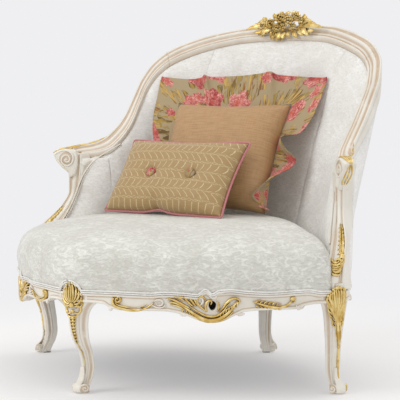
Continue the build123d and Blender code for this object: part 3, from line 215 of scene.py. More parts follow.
def scattered(m, uv, scale, chance, size, petals, seed):
    """Scattered motifs: share inside one, distance from its middle, and the motif's own number."""
    moved = m.add("ShaderNodeVectorMath", {0: uv, 1: (seed * 0.37, seed * 0.61, 0)}).outputs[0]
    cells = m.add("ShaderNodeTexVoronoi", {"Vector": moved, "Scale": scale, "Randomness": 0.75},
                  voronoi_dimensions="2D").outputs
    here, middle = (m.add("ShaderNodeVectorMath", {0: vector, "Scale": scale}, operation="SCALE").outputs[0]
                    for vector in (moved, cells["Position"]))
    away = m.parts(m.add("ShaderNodeVectorMath", {0: here, 1: middle}, operation="SUBTRACT").outputs[0])
    angle = m.math("ARCTAN2", away[1], away[0])
    own = m.add("ShaderNodeSeparateColor", {0: cells["Color"]}).outputs
    lobes = m.math("SINE", m.times(m.plus(angle, m.times(own[0], 6.28)), petals))
    wobble = m.times(m.minus(m.noise(moved, 60.0, 3.0), 0.5), 0.5 * size)
    reach = m.plus(m.plus(m.times(lobes, 0.16 * size), size), wobble)
    inside = m.step(m.minus(reach, cells["Distance"]), 0.0, 0.05)
    return m.times(inside, m.math("LESS_THAN", own[1], chance)), cells["Distance"], own[2]


def floral(name, kind="UV", scale=1.0):
    """Coral blooms over olive leaves on a fawn ground."""
    m = Material(name, roughness=0.62, sheen=0.2, sheen_rough=0.4, specular=0.3)
    uv = m.place(kind, scale=(scale, scale, scale))
    threads = m.noise(m.place(kind, scale=(30 * scale, 2 * scale, 1)), 30.0, 4.0)
    base = m.mix(threads, rgb(178, 160, 126), rgb(160, 140, 106))
    # Leaves: motifs filled with slanted blades
    blade = (scale * 95, scale * 17, 1)
    strokes = [m.noise(m.place(kind, scale=blade, rotation=(0, 0, turn)), 1.0, 4.0, 0.6, 0.6)
               for turn in (0.75, -0.6)]
    blades = m.step(m.math("MAXIMUM", *strokes), 0.49, 0.56)
    for seed, tone, deep, count, size in (
        (1, rgb(168, 138, 62), rgb(104, 78, 34), 13.0, 0.44),
        (5, rgb(198, 166, 92), rgb(132, 84, 40), 17.0, 0.40),
    ):
        inside = scattered(m, uv, count, 0.8, size, 3.0, seed)[0]
        leafy = m.mix(m.step(strokes[0], 0.42, 0.62), deep, tone)
        base = m.mix(m.times(inside, blades), base, leafy)
    # Blooms: dabbed petals with darker edges and hearts
    dabs = m.step(m.noise(uv, 75.0, 5.0, 0.7, 1.4), 0.36, 0.62)
    washes = m.step(m.noise(uv, 30.0, 3.0, 0.6, 0.8), 0.42, 0.62)
    petals = m.add("ShaderNodeTexVoronoi", {"Vector": uv, "Scale": 95.0}, feature="DISTANCE_TO_EDGE",
                   voronoi_dimensions="2D").outputs[0]
    for seed, count, size, chance in ((3, 11.5, 0.40, 0.5), (8, 19.0, 0.36, 0.42)):
        inside, far, own = scattered(m, uv, count, chance, size, 5.0, seed)
        rose = m.mix(dabs, rgb(182, 62, 62), rgb(230, 172, 158))
        rose = m.mix(m.times(washes, own), rose, rgb(150, 42, 46))
        rose = m.mix(m.times(m.step(petals, 0.10, 0.02), 0.6), rose, rgb(150, 40, 44))
        rose = m.mix(m.times(m.step(far, 0.22, 0.04), 0.7), rose, rgb(196, 84, 62))
        base = m.mix(inside, base, rose)
    return m.finish(base, threads, 0.25, 0.0006)


def stitched():
    """Brown silk with rows of slanted cream stitches that change direction from row to row."""
    row_pitch, stitch_pitch, lace_pitch = 0.031, 0.0235, 0.0105
    m = Material("stitched_cloth", roughness=0.55, sheen=0.3, sheen_rough=0.35, specular=0.35)
    uv = m.place("UV")
    u, v, _ = m.parts(uv)
    sag = m.times(m.minus(m.noise(uv, 9.0, 2.0), 0.5), 0.012)
    row = m.math("DIVIDE", m.plus(v, sag), row_pitch)
    within = m.math("FRACT", row)
    odd = m.math("GREATER_THAN", m.math("FRACT", m.times(row, 0.5)), 0.5)
    lean = m.times(m.minus(within, 0.5), m.minus(m.times(odd, 1.9), 0.55))
    bend = m.times(m.math("SINE", m.times(within, 3.14)), -0.22)
    ragged = m.times(m.minus(m.noise(uv, 320.0, 2.0), 0.5), 0.16)
    column = m.plus(m.plus(m.math("DIVIDE", u, stitch_pitch), m.plus(lean, bend)), ragged)
    line = m.math("ABSOLUTE", m.minus(m.math("FRACT", column), 0.5))
    length = m.times(m.step(within, 0.16, 0.22), m.minus(1.0, m.step(within, 0.82, 0.88)))
    stitch = m.times(m.minus(1.0, m.step(line, 0.03, 0.065)), length)
    # Thin zigzag between the rows
    zigzag = m.math("PINGPONG", m.math("DIVIDE", u, lace_pitch), 1.0)
    level = m.math("ABSOLUTE", m.minus(m.math("PINGPONG", row, 0.5), m.times(zigzag, 0.10)))
    broken = m.step(m.noise(uv, 420.0, 3.0), 0.42, 0.55)
    lace = m.times(m.minus(1.0, m.step(level, 0.02, 0.05)), broken)
    thread = m.math("MAXIMUM", stitch, m.times(lace, 0.75))
    slubs = m.noise(m.place("UV", scale=(1, 10, 1)), 45.0, 5.0, 0.6)
    ground = m.mix(slubs, rgb(182, 154, 110), rgb(152, 122, 80))
    colour = m.mix(m.times(thread, 0.72), ground, rgb(228, 212, 168))
    return m.finish(colour, m.plus(thread, m.times(slubs, 0.4)), 0.35, 0.0012)


def corded(name, light, dark):
    m = Material(name, roughness=0.6, sheen=0.3, specular=0.3)
    twist = m.wave(m.place("UV", rotation=(0, 0, 0.7)), 160.0, "X")
    return m.finish(m.mix(twist, light, dark), twist, 0.5, 0.0012)


def metal(name, tone, roughness):
    m = Material(name, metallic=1.0, roughness=roughness)
    where = m.place()
    return m.finish(m.mix(m.noise(where, 180.0, 4.0), tone, rgb(120, 116, 110)),
                    m.noise(where, 500.0), 0.15, 0.0004)


mats = {
    "painted_wood": painted_wood(),
    "gilded_wood": gilded_wood(),
    "bare_wood": plain_wood("bare_wood", rgb(202, 170, 126), rgb(160, 122, 80)),
    "upholstery_velvet": velvet(),
    "webbing": cloth("webbing", rgb(176, 150, 108), rgb(140, 114, 76), threads=420.0),
    "canvas": cloth("canvas", rgb(206, 196, 172), rgb(180, 166, 138)),
    "stuffing": cloth("stuffing", rgb(190, 170, 130), rgb(120, 96, 60), 0.95),
    "dust_cloth": cloth("dust_cloth", rgb(62, 60, 58), rgb(42, 40, 40)),
    "tan_silk": tan_silk(),
    "floral_cloth": floral("floral_cloth"),
    "stitched_cloth": stitched(),
    "piping_cloth": corded("piping_cloth", rgb(214, 140, 142), rgb(178, 98, 104)),
    "button_cloth": floral("button_cloth", "Object", 3.0),
    "steel": metal("steel", rgb(190, 190, 192), 0.35),
    "tack_metal": metal("tack_metal", rgb(90, 84, 80), 0.45),
    "glide_metal": metal("glide_metal", rgb(176, 172, 164), 0.4),
}


# Meshes
dressed = {}


def piece(name, verts, faces, slot, nodes=(), glaze_and_seat_shade=None, uv=None, smooth=True):
    """Object from points in millimetres, with a glaze per point (on the seat cover, the mark for a painted
    shade) and a UV in millimetres per point.
    """
    mesh = bpy.data.meshes.new(name)
    mesh.from_pydata((np.asarray(verts, float) * 0.001).tolist(), [], [tuple(map(int, f)) for f in faces])
    if glaze_and_seat_shade is not None:
        shade = mesh.attributes.new("glaze_and_seat_shade", "FLOAT", "POINT")
        shade.data.foreach_set("value", np.asarray(glaze_and_seat_shade, np.float32).ravel())
    if uv is not None:
        layer = mesh.uv_layers.new(name="UVMap")
        loops = np.zeros(len(mesh.loops), int)
        mesh.loops.foreach_get("vertex_index", loops)
        layer.data.foreach_set("uv", (np.asarray(uv, np.float32) * 0.001)[loops].ravel())
    mesh.polygons.foreach_set("use_smooth", [smooth] * len(mesh.polygons))
    mesh.validate()
    mesh.update()
    obj = bpy.data.objects.new(name, mesh)
    scene.collection.objects.link(obj)
    return dress(obj, slot, nodes)


def dress(obj, slot, nodes=()):
    """Material, slot, body and the nodes that a piece stands for."""
    obj.data.materials.clear()
    obj.data.materials.append(mats[slot])
    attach(obj, "root")
    if nodes:
        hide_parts(*nodes)
    dressed[obj.name] = slot, nodes
    return obj


def twin(obj):
    """Left piece: the mirror image of a right one about X = 0."""
    mesh = obj.data.copy()
    mesh.transform(Matrix.Scale(-1, 4, (1, 0, 0)))
    mesh.flip_normals()
    other = bpy.data.objects.new(obj.name.replace("right", "left"), mesh)
    scene.collection.objects.link(other)
    slot, nodes = dressed[obj.name]
    return dress(other, slot, [node.replace("right", "left") for node in nodes])


def grid_faces(rows, columns, closed_rows=False, closed_columns=False, first=0):
    faces = []
    for i in range(rows if closed_rows else rows - 1):
        for j in range(columns if closed_columns else columns - 1):
            here, there = first + i * columns, first + (i + 1) % rows * columns
            following = (j + 1) % columns
            faces.append((here + j, here + following, there + following, there + j))
    return faces


def skin(loops, closed=False, start_cap=True, end_cap=True):
    """Points and faces of a skin over closed section loops, capped unless the run of loops is closed."""
    loops = np.asarray(loops, float)
    rows, columns = loops.shape[:2]
    faces = grid_faces(rows, columns, closed, True)
    if start_cap and not closed:
        faces.append(tuple(range(columns - 1, -1, -1)))
    if end_cap and not closed:
        faces.append(tuple((rows - 1) * columns + j for j in range(columns)))
    return loops.reshape(-1, 3), faces


def double_skin(top, low, rows, columns):
    """Points and faces of a plate between two grids of points."""
    count = rows * columns
    back = [tuple(reversed(face)) for face in grid_faces(rows, columns, first=count)]
    rim = [i * columns for i in range(rows)] + [(rows - 1) * columns + k for k in range(1, columns)]
    rim += [i * columns + columns - 1 for i in range(rows - 2, -1, -1)] + list(range(columns - 2, 0, -1))
    sides = [(a, b, b + count, a + count) for a, b in zip(rim, rim[1:] + rim[:1])]
    return np.vstack([top, low]), grid_faces(rows, columns) + back + sides


def swept(name, loops, slot, nodes=(), glaze_and_seat_shade=None, uv=None, closed=False):
    """Piece with a skin over closed section loops."""
    verts, faces = skin(loops, closed)
    return face_out(piece(name, verts, faces, slot, nodes, glaze_and_seat_shade, uv))


def face_out(obj):
    """Turn all faces of a closed skin outward."""
    work = bmesh.new()
    work.from_mesh(obj.data)
    bmesh.ops.recalc_face_normals(work, faces=work.faces)
    work.to_mesh(obj.data)
    work.free()
    return obj


def turns(count):
    """Angles all the way round."""
    return np.linspace(0, 2 * pi, count, endpoint=False)


def limit(value, low=0.0, high=1.0):
    return min(max(value, low), high)


def run_along(points):
    """Length from the first point to each point."""
    steps = np.linalg.norm(np.diff(points, axis=0), axis=1)
    return np.concatenate([[0], np.cumsum(steps)])


def evenly(points, count):
    """Points resampled at even steps."""
    run = run_along(points)
    at = np.linspace(0, run[-1], count)
    return np.stack([np.interp(at, run, points[:, k]) for k in range(points.shape[1])], axis=1)


def curve_through(points, count):
    """Smooth curve through points, resampled evenly."""
    points = np.asarray(points, float)
    if len(points) == 2:
        return evenly(points, count)
    padded = np.vstack([2 * points[0] - points[1], points, 2 * points[-1] - points[-2]])
    fine = []
    for i in range(1, len(padded) - 2):
        a, b, c, d = padded[i - 1:i + 3]
        second, third = 2 * a - 5 * b + 4 * c - d, 3 * b - a - 3 * c + d
        for t in np.linspace(0, 1, 16, endpoint=False):
            fine.append(0.5 * (2 * b + (c - a) * t + second * t**2 + third * t**3))
    return evenly(np.array(fine + [points[-1]]), count)


def smooth_table(rows):
    """Monotone cubic through the rows of a table: the first column is where, the others are the values."""
    rows = np.asarray(rows, float)
    xs, ys = rows[:, 0], rows[:, 1:]
    slopes = np.diff(ys, axis=0) / np.diff(xs)[:, None]
    tangents = np.zeros_like(ys)
    tangents[0], tangents[-1] = slopes[0], slopes[-1]
    for i in range(1, len(xs) - 1):
        product, total = slopes[i - 1] * slopes[i], slopes[i - 1] + slopes[i]
        tangents[i] = np.where(product > 0, 2 * product / np.where(total == 0, 1, total), 0)

    def value(x):
        x = limit(x, xs[0], xs[-1])
        i = min(int(np.searchsorted(xs, x, "right")) - 1, len(xs) - 2)
        h = xs[i + 1] - xs[i]
        t = (x - xs[i]) / h
        return ((2 * t**3 - 3 * t**2 + 1) * ys[i] + (t**3 - 2 * t**2 + t) * h * tangents[i]
                + (3 * t**2 - 2 * t**3) * ys[i + 1] + (t**3 - t**2) * h * tangents[i + 1])

    return value


def smooth_line(rows):
    """Smooth table of a single value."""
    table = smooth_table(rows)
    return lambda x: table(x)[0]


def unit(vector):
    vector = np.asarray(vector, float)
    return vector / max(np.linalg.norm(vector), 1e-9)


def flip(points, way):
    """Flat points with their way across multiplied: -1 mirrors them."""
    return [(way * a, b) for a, b in points]


def taper(count, wide, start=0.25, end=0.25, grow=0.35):
    """Widths along a rib: from a share at the start, full at a place, to a share at the end."""
    t = np.linspace(0, 1, count)
    rise = np.sin(np.clip(t / grow, 0, 1) * pi / 2)
    fall = np.sin(np.clip((1 - t) / (1 - grow), 0, 1) * pi / 2)
    return wide * np.where(t < grow, start + (1 - start) * rise, end + (1 - end) * fall)


def spiral(x, y, radius, rounds, start, way=1, inner=0.2, steps=14):
    """Flat points of a spiral that winds in."""
    points = []
    for t in np.linspace(0, 1, steps):
        reach, turn = radius * (1 - (1 - inner) * t), start + way * 2 * pi * rounds * t
        points.append((x + reach * cos(turn), y + reach * sin(turn)))
    return points


class Carving:
    """Carved ribs, leaves, balls and blooms, gathered into one piece."""

    def __init__(self):
        self.verts, self.faces, self.count, self.glaze_and_seat_shade = [], [], 0, []

    def add(self, verts, faces, glaze_and_seat_shade=0.0):
        self.verts.append(np.asarray(verts, float))
        self.glaze_and_seat_shade += [glaze_and_seat_shade] * len(verts)
        self.faces += [tuple(self.count + index for index in face) for face in faces]
        self.count += len(verts)

    def rib(self, points, normals, widths, heights, sides=10):
        """Rib of oval section along points, standing along the normals."""
        points = np.asarray(points, float)
        loops = []
        for point, normal, run, width, height in zip(
                points, normals, np.gradient(points, axis=0), widths, heights):
            run = unit(run)
            normal = unit(normal - run * (normal @ run))
            side = np.cross(run, normal)
            loops.append([point + side * width * cos(t) + normal * height * sin(t) for t in turns(sides)])
        self.add(*skin(loops))

    def cord(self, points, normals, thick):
        """Round cord of even thickness."""
        self.rib(points, normals, [thick] * len(points), [thick] * len(points), 8)

    def carve(self, surface, points, wide, height, start=0.25, end=0.25, grow=0.35, count=22):
        """Rib sunk into a surface along flat points. Start, end and grow shape it as in taper."""
        sunk = 0.25
        found = [surface(*point) for point in curve_through(points, count)]
        normals = np.array([normal for _, normal in found])
        heights = taper(count, height, start, end, grow)
        spots = np.array([spot for spot, _ in found]) - normals * (heights * sunk)[:, None]
        self.rib(spots, normals, taper(count, wide, start, end, grow), heights)

    def carve_all(self, surface, rows):
        """Ribs from a table: points, width, height, share at the start and the end, place, sections."""
        for row in rows:
            self.carve(surface, *row)

    def ball(self, centre, normal, radius, flat=0.8, rings=8, sides=14):
        normal = unit(normal)
        side = unit(np.cross(normal, [0.3, 0.5, 0.81]))
        up = np.cross(normal, side)
        verts = []
        for i in range(1, rings):
            lat = pi * i / rings
            height, reach = normal * radius * flat * cos(lat), radius * sin(lat)
            verts += [centre + height + (side * cos(t) + up * sin(t)) * reach for t in turns(sides)]
        top, low = len(verts), len(verts) + 1
        verts += [centre + normal * radius * flat, centre - normal * radius * flat]
        last = (rings - 2) * sides
        faces = grid_faces(rings - 1, sides, False, True)
        faces += [(top, (j + 1) % sides, j) for j in range(sides)]
        faces += [(low, last + j, last + (j + 1) % sides) for j in range(sides)]
        self.add(verts, faces)

    def stud(self, surface, x, z, radius, out=0.0):
        """Ball on a surface."""
        spot, normal = surface(x, z)
        self.ball(spot + normal * out, normal, radius)

    def blade(self, points, normals, widths, cup=0.35, thick=1.6, teeth=0, tooth=0.0, across=9):
        """Leaf with a raised midrib, cupped sides and an edge that can be lobed."""
        points = np.asarray(points, float)
        n = len(points)
        top, low = [], []
        for i, (point, normal, run, width) in enumerate(
                zip(points, normals, np.gradient(points, axis=0), widths)):
            run = unit(run)
            normal = unit(normal - run * (normal @ run))
            side = np.cross(run, normal)
            lobe = 1 + tooth * sin(2 * pi * teeth * i / (n - 1))
            for x in np.linspace(-1, 1, across):
                cupped = cup * abs(x) ** 1.5 - 0.30 * cup * (abs(x) < 0.3)
                midrib = 0.22 * max(0, 1 - abs(x) * 3.2)
                top.append(point + side * x * width * lobe + normal * width * (cupped + midrib))
                low.append(top[-1] - normal * thick)
        self.add(*double_skin(top, low, n, across))

    def bloom(self, centre, normal, radius, petals=(6, 5, 4), turn=0.0):
        """Open flower: rings of cupped petals round a tight heart."""
        normal = unit(normal)
        side = unit(np.cross(normal, [0.2, 0.9, 0.4]))
        up = np.cross(normal, side)
        for ring, count in enumerate(petals):
            reach = radius * (1 - 0.27 * ring)
            for k in range(count):
                angle = 2 * pi * (k + 0.5 * ring) / count + turn
                way = side * cos(angle) + up * sin(angle)
                start = centre + way * reach * 0.12 + normal * radius * 0.12 * ring
                stops, widths = [], []
                for t in np.linspace(0, 0.95, 7):
                    rise = 0.18 * ring + 0.5 * sin(pi * t * 0.8) - 0.25 * t**3
                    stops.append(start + way * reach * t + normal * radius * rise)
                for t in np.linspace(0, 1, 7):
                    widths.append(reach * 0.46 * sin(pi * min(0.18 + 0.72 * t, 1)))
                facing = [unit(normal - way * 0.2)] * len(stops)
                self.blade(stops, facing, widths, cup=-0.35, thick=1.2, across=7)
        self.ball(centre + normal * radius * 0.62, normal, radius * 0.26)

    def done(self, name, slot="gilded_wood", nodes=()):
        return face_out(piece(name, np.vstack(self.verts), self.faces, slot, nodes, self.glaze_and_seat_shade))


# Plan of the seat
seat_y, seat_width, seat_depth, side_lead = -45.4, 1154, 920, 12
front_corner = np.array([0.0, seat_y - seat_depth / 2])
right_corner = np.array([seat_width / 2, seat_y - side_lead])
back_corner = np.array([0.0, seat_y + seat_depth / 2])


class Arc:
    """One bowed side of the seat's plan, with x along its chord."""

    def __init__(self, start, end, bow):
        run = end - start
        self.chord = float(np.hypot(*run))
        self.radius = (self.chord**2 / 4 + bow**2) / (2 * bow)
        self.run = run / self.chord
        out = np.array([self.run[1], -self.run[0]])
        self.centre = (start + end) / 2 - out * (self.radius - bow)
        self.middle = atan2(out[1], out[0])

    def at(self, x, z, out=0.0):
        """Point and outward normal at x along the chord."""
        angle = self.middle + asin((x - self.chord / 2) / self.radius)
        normal = np.array([cos(angle), sin(angle), 0.0])
        flat = self.centre + (self.radius + out) * normal[:2]
        return np.array([flat[0], flat[1], z]), normal


front, back = Arc(front_corner, right_corner, 76), Arc(right_corner, back_corner, 98)


# Seat rails: shaped lower edge, beaded edges and a rebate for the cover
front_low = smooth_line((
    (-40, 252), (60, 252), (92, 250), (112, 240), (150, 235), (250, 236), (306, 227), (345, 212.5),
    (373, 207), (407, 210.6), (436, 224), (463, 234.5), (507, 238), (596, 238.5), (620, 246), (650, 250),
    (780, 252),
))
front_top = smooth_line((
    (-40, 278), (46, 277), (111, 277.5), (217, 276), (255, 279), (310, 277), (340, 274), (363, 288),
    (380, 276), (398, 285), (430, 286.5), (470, 282), (531, 278.5), (630, 282), (668, 276), (780, 276),
))
back_low = smooth_line((
    (-40, 250), (60, 250), (110, 240), (200, 238), (300, 236), (345, 230), (390, 226), (440, 231),
    (480, 237), (600, 238), (680, 247), (800, 250),
))
back_top = smooth_line(((-40, 280), (200, 279), (340, 283), (400, 285), (460, 283), (800, 280)))
bead_width, bead_height, groove_width = 7.0, 3.4, 3.0
rail_hollow, rail_thick, rebate_height = 2.2, 34, 302


def bead_profile(away):
    """How far an edge bead stands out, and how deep the glaze lies, at a distance from the edge."""
    if away < bead_width:
        return bead_height * sqrt(max(1 - (2 * away / bead_width - 1) ** 2, 0.0)) + 0.6, 0.0
    if away < bead_width + groove_width:
        part = (away - bead_width) / groove_width
        return -1.2 * sin(pi * part) + 0.2, sin(pi * part)
    return 0.0, 0.0


def seat_rail(name, arc, low_edge, top_edge, node):
    loops, glaze_and_seat_shade = [], []
    for x in np.linspace(6, arc.chord - 10, 460):
        low, high = low_edge(x), top_edge(x)
        loop = []
        for z in np.linspace(low, high, 44):
            near = min(z - low, high - z)
            proud, dark = bead_profile(near)
            if near > 9:
                proud -= rail_hollow * max(0.0, 1 - ((2 * z - low - high) / (high - low)) ** 2)
            loop.append(arc.at(x, z, proud)[0])
            glaze_and_seat_shade.append(dark * 0.9)
        for out, z in ((-9, high - 0.5), (-9, rebate_height), (-rail_thick, rebate_height),
                       (-rail_thick, low + 6), (-20, low + 1)):
            loop.append(arc.at(x, z, out)[0])
            glaze_and_seat_shade.append(0.3)
        loops.append(loop)
    return swept(name, loops, "painted_wood", [node], glaze_and_seat_shade)


def pierce(obj, arc, x, z, half_width, half_height):
    """Cut the cartouche's opening."""
    rings = [[arc.at(x + half_width * cos(t) * (1 + 0.12 * sin(t)), z + half_height * sin(t), out)[0]
              for t in turns(40)] for out in (-60, 30)]
    cutter = swept("cutter", rings, "painted_wood")
    cut = obj.modifiers.new("pierce", "BOOLEAN")
    cut.operation, cut.object, cut.solver = "DIFFERENCE", cutter, "EXACT"
    bpy.context.view_layer.update()
    result = bpy.data.meshes.new_from_object(obj.evaluated_get(bpy.context.evaluated_depsgraph_get()))
    obj.modifiers.clear()
    obj.data = result
    bpy.data.objects.remove(cutter)


def opening_shadow_plate():
    """Thin dark plate behind the cartouche's opening: painted shadow for the dark inside of the rail seen
    through it.
    """
    corners = ((356, 222), (404, 222), (404, 276), (356, 276))
    loops = [[front.at(x, z, out)[0] for x, z in corners] for out in (-38, -35)]
    # The dust cloth's dark colour here is painted shadow, not a part of the chair
    return piece("front_right_rail_backing", *skin(loops), "dust_cloth", smooth=False)


right_rail = seat_rail("front_right_rail_carved", front, front_low, front_top, "front_right_rail")
pierce(right_rail, front, x=380, z=251, half_width=10, half_height=13)
twin(right_rail)
twin(opening_shadow_plate())
twin(seat_rail("back_right_rail_carved", back, back_low, back_top, "back_right_rail"))


# Carving starts a little out of the wood
carving_out = 1.5


def front_face(x, z):
    return front.at(x, z, carving_out)


def back_face(x, z):
    return back.at(x, z, carving_out)


def front_gilding():
    """Gilded carving of a front rail: C-scroll, leaf spray, cartouche and leafy end."""
    c = Carving()
    c.carve_all(front_face, (
        # C-scroll beside the front leg
        (spiral(131, 263, 9, 1.2, 1.2, -1), 3.6, 5, 0.6, 0.6),
        ([(121, 268), (118, 258), (124, 247), (140, 241), (165, 237), (190, 238), (212, 246), (228, 259)],
         4.4, 6.5, 0.7, 0.3, 0.3, 34),
        ([(124, 262), (128, 252), (145, 246), (170, 243), (192, 245), (210, 254)], 2.6, 5, 0.5, 0.2, 0.3, 26),
        # Cartouche: sweeping scrolls under the opening
        ([(300, 252), (318, 240), (336, 228), (356, 217), (376, 213), (398, 217), (416, 228), (430, 242),
          (440, 256), (447, 262)], 6.4, 8.5, 0.4, 0.35, 0.5, 44),
        ([(318, 232), (338, 220), (360, 211.5), (380, 210), (402, 213), (420, 222), (434, 236)],
         4.0, 7, 0.4, 0.4, 0.5, 36),
        ([(322, 250), (342, 236), (362, 226), (380, 223), (396, 227), (410, 239), (418, 251), (426, 259)],
         3.6, 7, 0.4, 0.4, 0.5, 36),
        # Rim round the opening, broken by a heart-shaped hollow on its left
        ([(366, 236), (362, 246), (364, 258), (372, 266), (378, 262), (376, 254)], 3.6, 6, 0.5, 0.4, 0.4, 24),
        ([(340, 262), (344, 272), (352, 276), (360, 270), (364, 262)], 3.0, 6, 0.4, 0.3, 0.5, 20),
        ([(338, 270), (342, 258), (352, 246), (364, 238)], 3.4, 6, 0.4, 0.4, 0.5, 20),
        ([(392, 236), (397, 246), (396, 257), (390, 264)], 2.6, 5, 0.3, 0.3, 0.5, 18),
        ([(396, 236), (408, 246), (416, 258), (428, 268), (440, 271), (450, 266)],
         3.8, 6.5, 0.3, 0.6, 0.6, 26),
        (spiral(446, 262, 6, 0.9, 1.4, -1), 2.8, 5, 0.8, 0.6),
        # Leafy scroll beside the side leg
        ([(486, 262), (506, 254), (530, 247), (556, 244), (576, 250), (590, 262)], 4.6, 6, 0.3, 0.5, 0.4, 30),
        (spiral(590, 265, 8, 1.1, -1.4, 1), 3.2, 5, 0.8, 0.6),
    ))
    c.stud(front_face, 132, 270, 3.4)
    c.stud(front_face, 124, 272, 3.4)
    c.stud(front_face, 590, 266, 6, 1.5)
    # Leaf spray before the cartouche
    for points, wide in (
        ([(262, 271), (280, 266), (300, 256), (322, 244)], 4.2), ([(264, 262), (284, 258), (304, 249)], 3.4),
        ([(272, 275), (290, 273), (308, 264)], 3.4), ([(286, 276), (302, 275), (316, 268)], 3.0),
        ([(270, 254), (288, 251), (306, 243)], 3.0), ([(306, 274), (316, 262), (330, 250)], 3.6),
        ([(318, 276), (326, 264), (338, 250)], 3.6), ([(332, 274), (336, 262), (344, 250)], 3.0),
    ):
        c.carve(front_face, points, wide, wide * 1.5, 0.3, 0.5, 0.5, 16)
    # Leaflets along the cartouche's two sides and the leafy scroll
    leaflet = 0.5, 0.2, 0.3
    for t in range(7):
        x, z = 400 + 7.2 * t, 4.2 * t
        c.carve(front_face, [(x, 222 + z), (x + 3, 233 + z), (x + 12, 241 + 3.6 * t)], 2.4, 6, *leaflet, 12)
    for t in range(8):
        x = 306 + 8.5 * t
        c.carve(front_face, [(x, 244 - 3.8 * t), (x - 4, 236 - 3.4 * t), (x - 8, 231 - 2.6 * t)],
                2.2, 5, 0.6, 0.3, 0.3, 10)
    for t in range(6):
        x, z = 492 + 11 * t, -1.6 * t
        over = [(x, 256 + z), (x + 4, 262 - 1.4 * t), (x + 15, 266 - 2.6 * t)]
        under = [(x, 252 + z), (x + 8, 246 - 1.4 * t), (x + 17, 243 - 0.6 * t)]
        c.carve(front_face, over, 2.4, 4.6, *leaflet, 10)
        c.carve(front_face, under, 2.2, 4.4, *leaflet, 10)
    return c


def front_moulding():
    """Painted shells and scrolls between the gilded carving."""
    c = Carving()
    c.carve_all(front_face, (
        ([(228, 262), (240, 266), (250, 262), (248, 252), (238, 250), (234, 256)],
         2.8, 4.6, 0.5, 0.4, 0.4, 22),
        ([(222, 252), (236, 245), (252, 247), (258, 256)], 2.6, 4.4, 0.4, 0.3, 0.4, 18),
        # Curl where the top bead breaks over the cartouche
        ([(352, 280), (362, 286), (370, 282), (377, 274), (384, 270), (391, 275), (388, 281)],
         3.4, 6, 0.7, 0.5, 0.4, 30),
        ([(388, 281), (398, 284), (412, 285)], 2.8, 5, 0.6, 0.3, 0.3, 14),
        ([(345, 268), (352, 272), (356, 264), (352, 256), (346, 250)], 3.2, 4.6, 0.4, 0.3, 0.4, 18),
        # Corbel at the lower edge
        ([(598, 250), (604, 243), (614, 240), (622, 246)], 2.8, 4.4, 0.4, 0.3, 0.4, 14),
    ))
    c.stud(front_face, 113, 238, 5.5)
    c.stud(front_face, 606, 241, 5.5)
    for x, z, way in ((306, 231, 1), (453, 232, -1)):
        for turn in np.radians(200 + 32 * np.arange(5)):
            ray = [(x + way * a * cos(turn), z + b * sin(turn)) for a, b in ((0, 0), (7, 6), (12, 8))]
            c.carve(front_face, ray, 2.6, 4, 0.4, 0.8, 0.8, 10)
    return c


twin(front_gilding().done("front_right_rail_gilding"))
twin(front_moulding().done("front_right_rail_shells", "painted_wood"))


def back_carving():
    """Scrolls and leaves in the middle of a back rail."""
    c = Carving()
    middle = 392

    for way in (-1, 1):
        def half(x, z, way=way):
            return back_face(middle + way * x, z)

        c.carve(half, [(0, 240), (22, 236), (46, 246), (58, 262)], 4.2, 6, 0.8, 0.4, 0.3, 26)
        c.carve(half, [(0, 252), (18, 250), (34, 260), (30, 270)], 3.4, 5.4, 0.8, 0.4, 0.3, 22)
        for t in range(4):
            x = 44 + 13 * t
            c.carve(half, [(x, 250), (x + 5, 260 - t), (x + 14, 266 - 2 * t)], 2.4, 4.4, 0.6, 0.2, 0.3, 10)
    for turn in np.radians(30 + 30 * np.arange(5)):
        ray = [(middle + a * cos(turn), 256 + b * sin(turn)) for a, b in ((0, 0), (9, 9), (15, 16))]
        c.carve(back_face, ray, 2.6, 5, 0.5, 0.7, 0.7, 10)
    return c


twin(back_carving().done("back_right_rail_gilding"))


def front_lip(x):
    """Lower edge of the seat's cover: along the rail's top, and over the carving at the front corner."""
    return front_top(x) + 24 * max(0.0, 1 - (x / 34) ** 2) ** 0.6


def gimp(name, arc, lip, first, last, cords):
    """Double cord that covers the edge of the cloth: rise over the edge, distance out and thickness."""
    c = Carving()
    xs = np.concatenate([np.linspace(first, 60, 40, endpoint=False), np.linspace(60, last, 150)])
    for rise, out, thick in cords:
        found = [arc.at(x, lip(x) + rise, out) for x in xs]
        c.cord([spot for spot, _ in found], [normal for _, normal in found], thick)
    return c.done(name, "upholstery_velvet")


twin(gimp("seat_gimp_right", front, front_lip, 1.5, front.chord - 40, ((2.2, 4.6, 2.3), (7.4, 6.2, 2.3))))
twin(gimp("back_gimp_right", back, back_top, 34, back.chord - 1, ((2.6, -1.0, 2.4), (7.6, 0.4, 2.4))))


# Legs
def loop_smooth(points, passes):
    for _ in range(passes):
        points = (np.roll(points, 1, axis=0) + 2 * points + np.roll(points, -1, axis=0)) / 4
    return points


def edge_loop(corners, counts):
    """Points along a polygon's edges, starting at its first corner."""
    points = []
    for a, b, count in zip(corners, np.roll(corners, -1, axis=0), counts):
        points += [a * (1 - t) + b * t for t in np.linspace(0, 1, count, endpoint=False)]
    return np.array(points)


